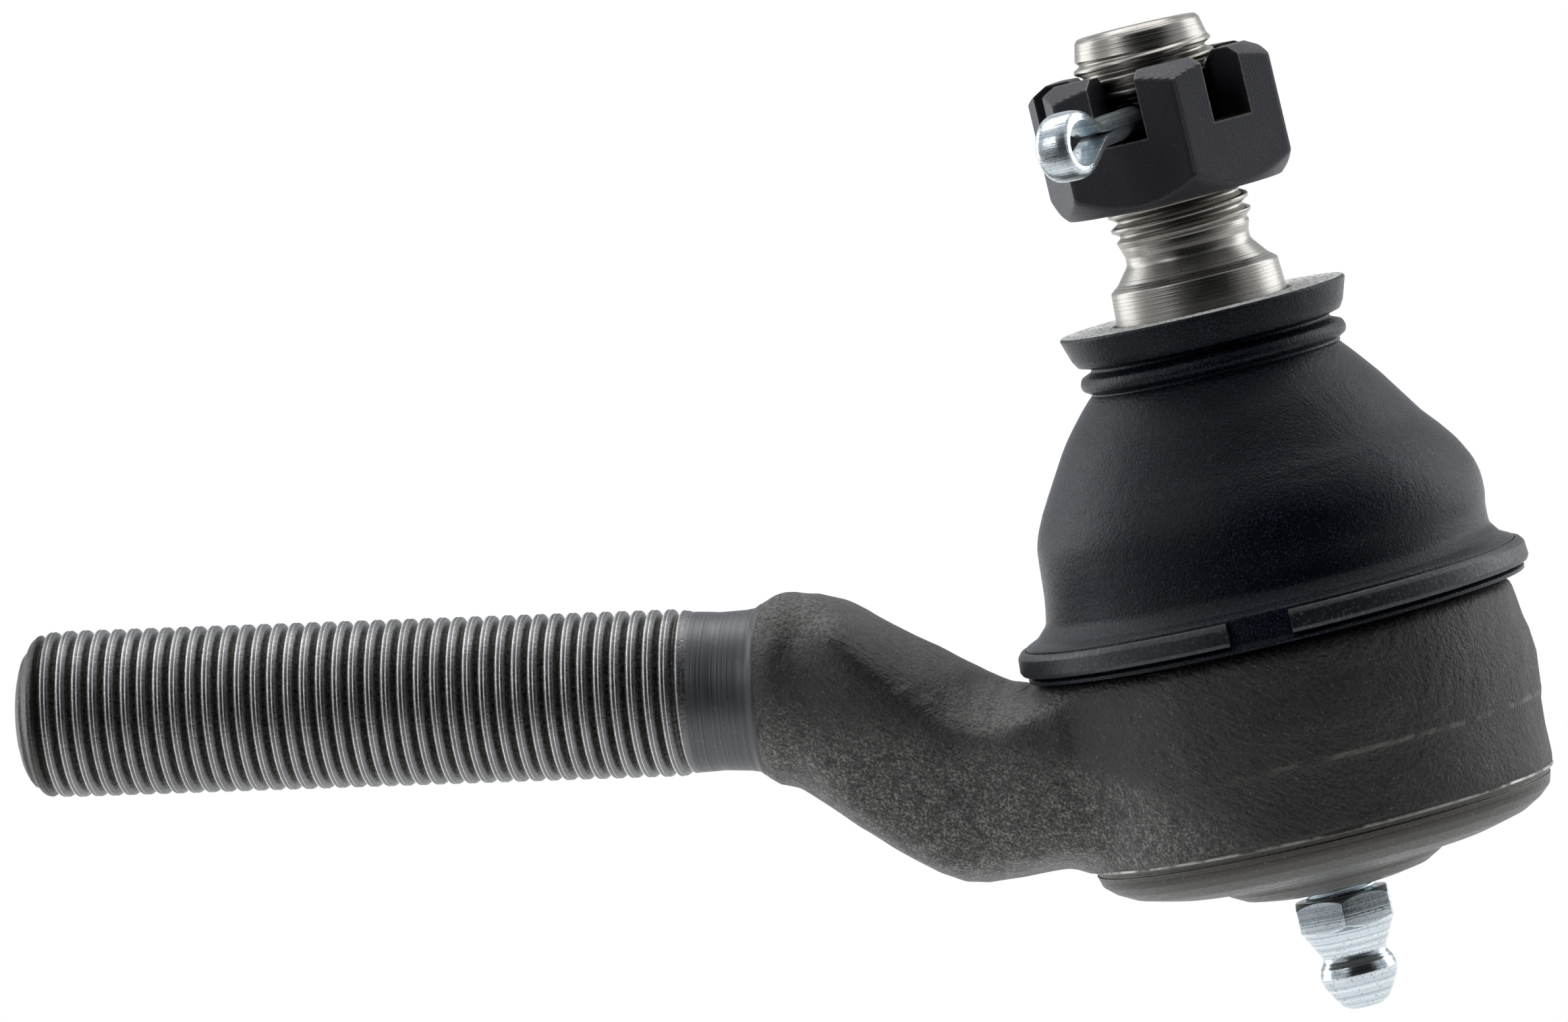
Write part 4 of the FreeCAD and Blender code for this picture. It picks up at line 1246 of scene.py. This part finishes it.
def dome_lower():
    outer = flowing([(19.2, 8.7), (19.1, 10.0), (19.12, 11.5), (19.03, 13.0), (18.74, 14.5),
                     (18.15, 16.0), (17.2, dome_seam_z)], 6)
    lip = rounded([
        (18.3, 6.5, 0.1), (18.3, boot_bottom + 0.02, 0.1), (20.6, boot_bottom, 0.1),
        (21.45, boot_bottom + 0.02, 0.08), (21.5, boot_bottom + 0.32, 0.08), (21.15, boot_bottom + 0.62, 0.1),
        (21.15, 6.95, 0.35), (20.1, 7.45, 0.9), (19.32, 8.35, 0.6), outer[0]], 0.1, 4)
    inner = [(r - wall_thickness, z) for r, z in reversed(outer)]
    outline = lip[:-1] + outer + inner + rounded(
        [inner[-1], (17.3, 8.5), (18.95, 8.15), (18.95, 6.9), (18.3, 6.5)], 0.1)[1:-1]
    piece = lathe("boot_dome_lower", outline, None, RUBBER, boot_columns, sharp_deg=50)
    sat_over(piece)
    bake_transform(piece)
    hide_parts("dust_boot")


def dome_upper():
    outer = flowing([(17.2, dome_seam_z), (16.2, 19.0), (14.92, 21.0), (13.6, 23.0), (12.0, 25.0),
                     (11.2, 25.9), (10.65, collar_bottom)], 6)
    inner = [(r - wall_thickness + wall_thinning * k / len(outer), z) for k, (r, z) in enumerate(outer)][::-1]
    piece = lathe("boot_dome_upper", outer + inner, None, RUBBER, boot_columns, sharp_deg=50)
    sat_over(piece)
    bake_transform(piece)
    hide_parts("dust_boot")


def boot_collar():
    hole_r = 7.5
    base, top = collar_bottom, collar_top
    outline = rounded([
        (8.5, base - 0.2, 0), (10.8, base - 0.1, 0.1), (10.72, base + 0.15, 0.15),
        (11.42, base + 0.55, 0.5), (11.5, base + 1.05, 0.6), (11.3, base + 1.6, 0.5),  # bead
        (10.4, base + 1.95, 0.25), (10.3, base + 2.3, 0.2), (11.35, base + 2.55, 0.25),  # groove
        (11.75, base + 3.2, 0.8), (12.35, top - 0.25, 0.12), (12.2, top - 0.02, 0.1),  # flange
        (hole_r + 0.25, top - 0.05, 0.2), (hole_r, top - 0.4, 0.2), (7.72, base + 2.0, 0.3)], closed=True)
    piece = lathe("boot_collar_rubber", outline, "collar", RUBBER, boot_columns, sharp_deg=40)
    piece.data.materials.append(CUT)
    for face in piece.data.polygons:
        if face.normal.z > 0.9 and face.center.z > (top - 0.4) * MM:
            face.material_index = 1
    print("cut faces:", sum(face.material_index for face in piece.data.polygons))
    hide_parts("boot_collar")


dome_lower()
dome_upper()
boot_collar()

# %% [markdown]
# A split band clamps the boot's lip into the groove. Its two ends leave a short gap.

# %% Retaining ring
ring_gap_turn = math.radians(5.0)
ring_gap_wide = 5.5
ring_outer_r = 22.2


def retaining_ring():
    low_z, top_z = low("boot_retaining_ring").z, high("boot_retaining_ring").z
    section = rounded([(21.22, low_z, 0.05), (21.85, low_z, 0.15), (22.05, low_z + 0.35, 0.25),
                       (21.95, top_z - 0.45, 0.35), (21.6, top_z, 0.25), (21.22, top_z, 0.05)], closed=True)
    half_gap = ring_gap_wide / 2 / ring_outer_r
    turns = np.linspace(ring_gap_turn + half_gap, ring_gap_turn + 2 * math.pi - half_gap, 181)
    points, faces = swept([[around_z(turn, z, r) for r, z in section] for turn in turns])
    piece = make_piece("retaining_ring", points, faces, "housing", RING)
    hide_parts("boot_retaining_ring")


retaining_ring()

# %% [markdown]
# ## The ball stud
# Below the thread the stud is plain turning: ball, neck, a taper of 1 in 8 that seats in the steering arm,
# and a relief groove. The thread is wound on as for the shank.

# %% Stud
stud_pitch = 1.25
stud_crest_r = 6.0
stud_root_depth = 0.66
stud_plain_r = stud_crest_r - 0.42
stud_tip_r = stud_crest_r - 0.28
stud_thread_low, stud_thread_high = 38.0, 54.3


def stud_radius(along, share):
    height = thread_form(share, root=0.12, crest=0.22)
    grow = min(max((along - stud_thread_low) / 1.1, 0), 1)
    shrink = min(max((stud_thread_high - along) / 0.5, 0), 1)
    r = stud_crest_r - stud_root_depth + stud_root_depth * height
    r = stud_plain_r * (1 - grow) + r * grow
    return stud_tip_r * (1 - shrink) + r * shrink


def ball_stud():
    flat_z = low("ball_stud").z
    ball = [(ball_r * math.cos(t), ball_r * math.sin(t))
            for t in np.linspace(math.asin(flat_z / ball_r), math.acos(7.4 / ball_r), 40)]
    turned = rounded([
        ball[-1], (6.4, ball[-1][1] + 1.7, 1.2), (6.4, 14.5, 1.0),  # neck
        (8.28, 16.5, 0.6), (7.21, 34.5, 0.35), (6.5, 35.05, 0.3),  # taper
        (5.36, 36.5, 0.7), (5.34, 37.2, 0.7), (stud_plain_r, stud_thread_low, 0.1)], 0.2, 6)  # relief groove
    body = [(0, flat_z)] + ball + turned[1:]
    tip = rounded([(stud_tip_r, stud_thread_high, 0.1), (5.62, stud_thread_high + 0.35, 0.2),
                   (5.38, stud_top - 0.35, 0.3), (5.1, stud_top - 0.02, 0.25), (4.3, stud_top - 0.1, 0.3),
                   (3.6, stud_top - 0.75, 0.5), (0, stud_top - 0.85)], 0.1, 4)
    columns = 144
    wound = wound_skin(stud_thread_low, stud_thread_high, stud_pitch, stud_radius, columns, 14)
    points, faces = joined(spun(body, columns, False), wound, spun(tip, columns, False))
    piece = make_piece("stud_turned", points, faces, "stud", BRIGHT, 40)
    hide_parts("ball_stud")
    return piece


stud = ball_stud()

# %% [markdown]
# ## The slotted nut
# A hexagon with coned ends, a bore, and three sawn slots. The outside is one grid that follows whichever
# limit is nearest, so its edges come out a little soft. The bore and the slots are then cut out of it.

# %% Carving tools


def temporary(name, points, faces):
    mesh = bpy.data.meshes.new(name)
    mesh.from_pydata([(x * MM, y * MM, z * MM) for x, y, z in points], [], faces)
    finish_mesh(mesh, 30)
    made = bpy.data.objects.new(name, mesh)
    bpy.context.scene.collection.objects.link(made)
    return made


def prism(name, corners, bottom, top):
    return temporary(name, *swept([[(x, y, z) for x, y in corners] for z in (bottom, top)]))


def hexagon(across_flats, flat_turn):
    corner = across_flats / math.sqrt(3)
    turns = [flat_turn + math.radians(30 + 60 * i) for i in range(6)]
    return [(corner * math.sin(t), -corner * math.cos(t)) for t in turns]


def carve(target, cutters):
    """Applies (operation, object) pairs to target and removes the cutters."""
    for operation, cutter in cutters:
        cut = target.modifiers.new("cut", "BOOLEAN")
        cut.operation = operation
        cut.solver = "EXACT"
        cut.object = cutter
    bpy.context.view_layer.update()
    mesh = bpy.data.meshes.new_from_object(target.evaluated_get(bpy.context.evaluated_depsgraph_get()))
    target.modifiers.clear()
    target.data = mesh
    for _, cutter in cutters:
        bpy.data.objects.remove(cutter)


def bevelled(target, width_mm, angle_deg=24.0):
    bevel = target.modifiers.new("edge", "BEVEL")
    bevel.width = width_mm * MM
    bevel.segments = 3
    bevel.limit_method = "ANGLE"
    bevel.angle_limit = math.radians(angle_deg)
    bevel.use_clamp_overlap = True
    mesh = bpy.data.meshes.new_from_object(target.evaluated_get(bpy.context.evaluated_depsgraph_get()))
    target.modifiers.clear()
    target.data = mesh


def adopt(target, name, body, material, node_name, sharp_deg=35.0):
    """Turns a carved solid into a finished piece."""
    target.name = target.data.name = name
    target.data.shade_smooth()
    target.data.set_sharp_from_angle(angle=math.radians(sharp_deg))
    target.data.materials.clear()
    target.data.materials.append(material)
    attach(target, body)
    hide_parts(node_name)
    print(name, len(target.data.polygons), "faces")


print("carving tools ready")

# %% [markdown]
# The slots are cut in pairs by three long bars. One pair of slots lines up with the hole in the stud, which
# is where the pin goes.

# %% Nut
nut_flats = 19.05
slot_turn = math.radians(-10.5)
slot_wide, slot_deep = 4.25, 5.8


def nut_skin():
    """The hexagon and its two cones as one grid. A high power mean of the limits keeps the edges soft."""
    half, soft = nut_flats / 2 + 0.05, 130.0
    around, rows = 360, 64
    heights = nut_bottom + (nut_top - nut_bottom) * (0.5 - 0.5 * np.cos(np.linspace(0, math.pi, rows)))
    points, faces = [], []
    for i in range(around):
        turn = slot_turn + 2 * math.pi * i / around
        lean = sum(max(0.0, math.cos(2 * math.pi * (i / around - k / 6))) ** soft for k in range(6))
        hexagon_r = half / lean ** (1 / soft)
        points.append((0, 0, nut_bottom))
        for z in heights:
            limits = (hexagon_r, half - 0.35 + (z - nut_bottom), half - 0.95 + (nut_top - z) / 0.55)
            r = sum(limit ** -soft for limit in limits) ** (-1 / soft)
            points.append((r * math.sin(turn), -r * math.cos(turn), z))
        points.append((0, 0, nut_top))
    n = rows + 2
    for i in range(around):
        j = (i + 1) % around
        faces += [(i * n + k, j * n + k, j * n + k + 1, i * n + k + 1) for k in range(n - 1)]
    return points, faces


def slotted_nut():
    nut = temporary("nut_blank", *nut_skin())
    bore_line = [(0, nut_bottom - 1), (6.75, nut_bottom - 1), (6.75, nut_bottom), (5.62, nut_bottom + 1.1),
                 (5.62, nut_top - 1.0), (6.7, nut_top), (6.7, nut_top + 1), (0, nut_top + 1)]
    cutters = [("DIFFERENCE", temporary("nut_bore", *spun(bore_line, 96, False)))]
    for i in range(3):
        turn = slot_turn + math.radians(60 * i)
        along, across = Vector((math.sin(turn), -math.cos(turn))), Vector((math.cos(turn), math.sin(turn)))
        signs = ((1, 1), (-1, 1), (-1, -1), (1, -1))
        corners = [along * a * 20 + across * b * slot_wide / 2 for a, b in signs]
        cutters.append(("DIFFERENCE", prism("slot_cutter", corners, nut_top - slot_deep, nut_top + 5)))
    carve(nut, cutters)
    adopt(nut, "nut_oxide", "stud", OXIDE, "slotted_nut", 28)


slotted_nut()

# %% [markdown]
# ## The cotter pin
# A cotter pin is one half-round wire, bent round into an eye and laid back flat on itself. So its mesh is a
# half-round section swept along the wire's path, flat side always inward.

# %% Cotter pin
pin_z = (low("cotter_pin").z + high("cotter_pin").z) / 2
pin_turn = slot_turn - math.radians(3.0)
pin_way = Vector((math.sin(pin_turn), -math.cos(pin_turn), 0))
pin_side = Vector((math.cos(pin_turn), math.sin(pin_turn), 0))
wire_r = 1.3
pin_hole_r = 1.55


def pin_path():
    """(out along the pin, height) of the wire's flat side: along one leg, round the eye and back."""
    upper = [(-12.4, 0.10), (-9.0, 0.04), (0.0, 0.03), (10.0, 0.03), (13.2, 0.08), (14.4, 0.35),
             (15.5, 1.0), (16.6, 1.62), (18.0, 1.93), (19.3, 1.72), (20.2, 1.0)]
    lower = [(20.5, 0.0), (20.2, -1.0), (19.3, -1.72), (18.0, -1.93), (16.8, -1.62), (15.6, -1.1),
             (14.4, -0.55), (13.0, -0.12), (10.0, -0.03), (0.0, -0.03), (-9.0, -0.04), (-12.2, -0.10)]
    return flowing(upper + lower, 8)


def wire_section(out_along):
    """(across, up) points of the half-round wire. It is pressed wider and flatter in the eye."""
    flat = min(max((out_along - 13.5) / 4.0, 0), 1)
    thick, wide = 1.25 - 0.25 * flat, wire_r + 0.22 * flat
    square = 1.0 - 0.35 * flat
    arc = [(math.sin(t), math.cos(t)) for t in np.linspace(-math.pi / 2, math.pi / 2, 17)]
    section = [(math.copysign(abs(w) ** square, w) * wide, abs(h) ** square * thick) for w, h in arc]
    return section + [(wide * 0.96, -0.02), (0, -0.02), (-wide * 0.96, -0.02)]


def cotter_pin():
    path = [Vector(p) for p in pin_path()]
    count = len(path)
    sections = []
    for i, p in enumerate(path):
        ahead = (path[min(i + 1, count - 1)] - path[max(i - 1, 0)]).normalized()
        out = Vector((-ahead.y, ahead.x))
        ease = 1.0 if 1 < i < count - 2 else 0.80
        bend = -0.080 * max(0.0, p.x - 9.5) ** 1.12
        droop = -0.045 * max(0.0, p.x - 11.0)
        sections.append([])
        for w, h in wire_section(p.x):
            spot = p + out * (h * ease)
            where = pin_way * spot.x + UP * (spot.y + droop + pin_z) + pin_side * (w * ease + bend)
            sections[-1].append(tuple(where))
    points, faces = swept(sections)
    zinc_wire = bright_zinc("zinc_wire", 0.10, tuple(UP), 0.80)
    piece = make_piece("cotter_pin_wire", points, faces, "cotter_pin", zinc_wire, 50)
    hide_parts("cotter_pin")


def drill_stud():
    """The hole for the pin, straight through the stud."""
    turns = np.linspace(0, 2 * math.pi, 48, endpoint=False)
    corners = [(pin_hole_r * math.cos(t), pin_hole_r * math.sin(t)) for t in turns]
    ends = [[tuple(pin_way * d + pin_side * a + UP * (b + pin_z)) for a, b in corners] for d in (-12, 12)]
    carve(stud, [("DIFFERENCE", temporary("pin_drill", *swept(ends)))])
    print("stud after drilling", len(stud.data.polygons), "faces")


drill_stud()
cotter_pin()

# %% [markdown]
# ## Cover plate and grease fitting
# The pressed cover closes the cup, and the grease fitting screws into its boss.

# %% Cover


def cover_plate():
    seat = high("cover_plate").z
    outline = rounded([
        (3.3, cover_bottom, 0.2), (5.9, cover_bottom, 0.4), (7.9, -18.15, 1.0), (9.1, -17.5, 0.6),
        (9.75, -17.05, 0.4), (11.4, -16.85, 0.6), (12.9, -16.05, 0.4), (13.3, -15.6, 0.2),
        (17.1, seat - 2.2, 0.2), (17.1, seat, 0.3), (11.4, seat, 0.3),
        (8.9, seat - 2.5, 0.5), (3.3, seat - 2.5, 0.2)], closed=True)
    piece = lathe("cover_pressed", outline, "housing", RIM)
    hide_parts("cover_plate")


cover_plate()

# %% Grease fitting
hex_top, hex_low = fitting_tip + 9.8, fitting_tip + 6.9
fitting_flats = 7.94


def grease_fitting():
    blank = prism("hex_blank", hexagon(fitting_flats, math.radians(-22.5)), hex_low, hex_top)
    half = fitting_flats / 2
    cone_line = [(0, hex_low), (half - 0.1, hex_low), (half + 1, hex_low + 0.75), (half + 1, hex_top - 0.75),
                 (half - 0.1, hex_top), (0, hex_top)]
    carve(blank, [("INTERSECT", temporary("hex_cones", *spun(cone_line, 120, False)))])
    bevelled(blank, 0.12)
    adopt(blank, "fitting_hexagon", "housing", ZINC, "grease_fitting_body")
    head = fitting_tip + 3.0
    outline = rounded([
        (1.3, fitting_tip + 2.0, 0), (0.75, fitting_tip + 1.2, 0.1), (0.75, fitting_tip + 0.05, 0.1),
        (1.35, fitting_tip, 0.25), (1.95, fitting_tip + 0.35, 0.3), (2.55, fitting_tip + 1.2, 0.6),
        (3.1, fitting_tip + 2.2, 0.8), (3.33, head, 0.5), (3.15, head + 0.75, 0.5),
        (2.76, head + 1.35, 0.4), (2.76, head + 1.75, 0.4), (3.9, hex_low + 0.05, 0.3),
        (3.9, hex_low + 0.5, 0), (1.3, hex_low + 0.5, 0)], closed=True)
    piece = lathe("fitting_head", outline, "housing", ZINC, 96)
    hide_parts("grease_fitting_body")


def fitting_thread():
    start, end = hex_top - 0.3, high("grease_fitting_body").z
    pitch = 25.4 / 28

    def radius_at(along, share):
        return 3.17 - 0.5 + 0.5 * thread_form(share, root=0.12, crest=0.2) * min(1, (end - along) / 0.6)

    step_z = fitting_tip + 9.2
    lining = [(2.67, end), (0.8, end), (0.8, step_z), (1.3, step_z), (1.3, start), (2.67, start)]
    points, faces = joined(wound_skin(start, end, pitch, radius_at, 72, 10), spun(lining, 72, False))
    piece = make_piece("fitting_thread", points, faces, "housing", ZINC, 45)
    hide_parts("grease_fitting_body")


grease_fitting()
fitting_thread()

# %% [markdown]
# ## Hidden pieces
# The bearing seats, springs and check ball are right as the CAD made them. They keep their shapes and only
# get a finish.

# %% Hidden finishes


def plain_hidden(name, dark, light, metallic, rough, axis=(0, 0, 1)):
    f = Finish(name, Metallic=metallic)
    rings = f.use(TURNING, Axis=axis, Spacing=0.4)
    grain = f.use(GRAIN, Grain_Size=0.4, Speck_Size=0.5, Speck_Share=0.05)
    f.wire(f.tint(grain["Patches"], dark, light), "Base Color")
    f.wire(f.level(grain["Grain"], rough - 0.06, rough + 0.08), "Roughness")
    f.bump(rings["Rings"], 0.012)
    return f.material


acetal = plain_hidden("acetal_seat", (0.72, 0.70, 0.62), (0.82, 0.80, 0.73), 0.0, 0.35)
spring_steel = plain_hidden("spring_steel", (0.20, 0.20, 0.21), (0.32, 0.32, 0.33), 1.0, 0.32)
ball_steel = plain_hidden("ball_steel", (0.60, 0.60, 0.61), (0.70, 0.70, 0.71), 1.0, 0.12)
hidden = {"upper_bearing_seat": acetal, "lower_bearing_seat": acetal, "preload_spring": spring_steel,
          "fitting_spring": spring_steel, "fitting_check_ball": ball_steel}
for node_name, finish in hidden.items():
    target = frame["nodes"][node_name]
    target.data.materials.clear()
    target.data.materials.append(finish)
print("hidden pieces finished:", len(hidden))
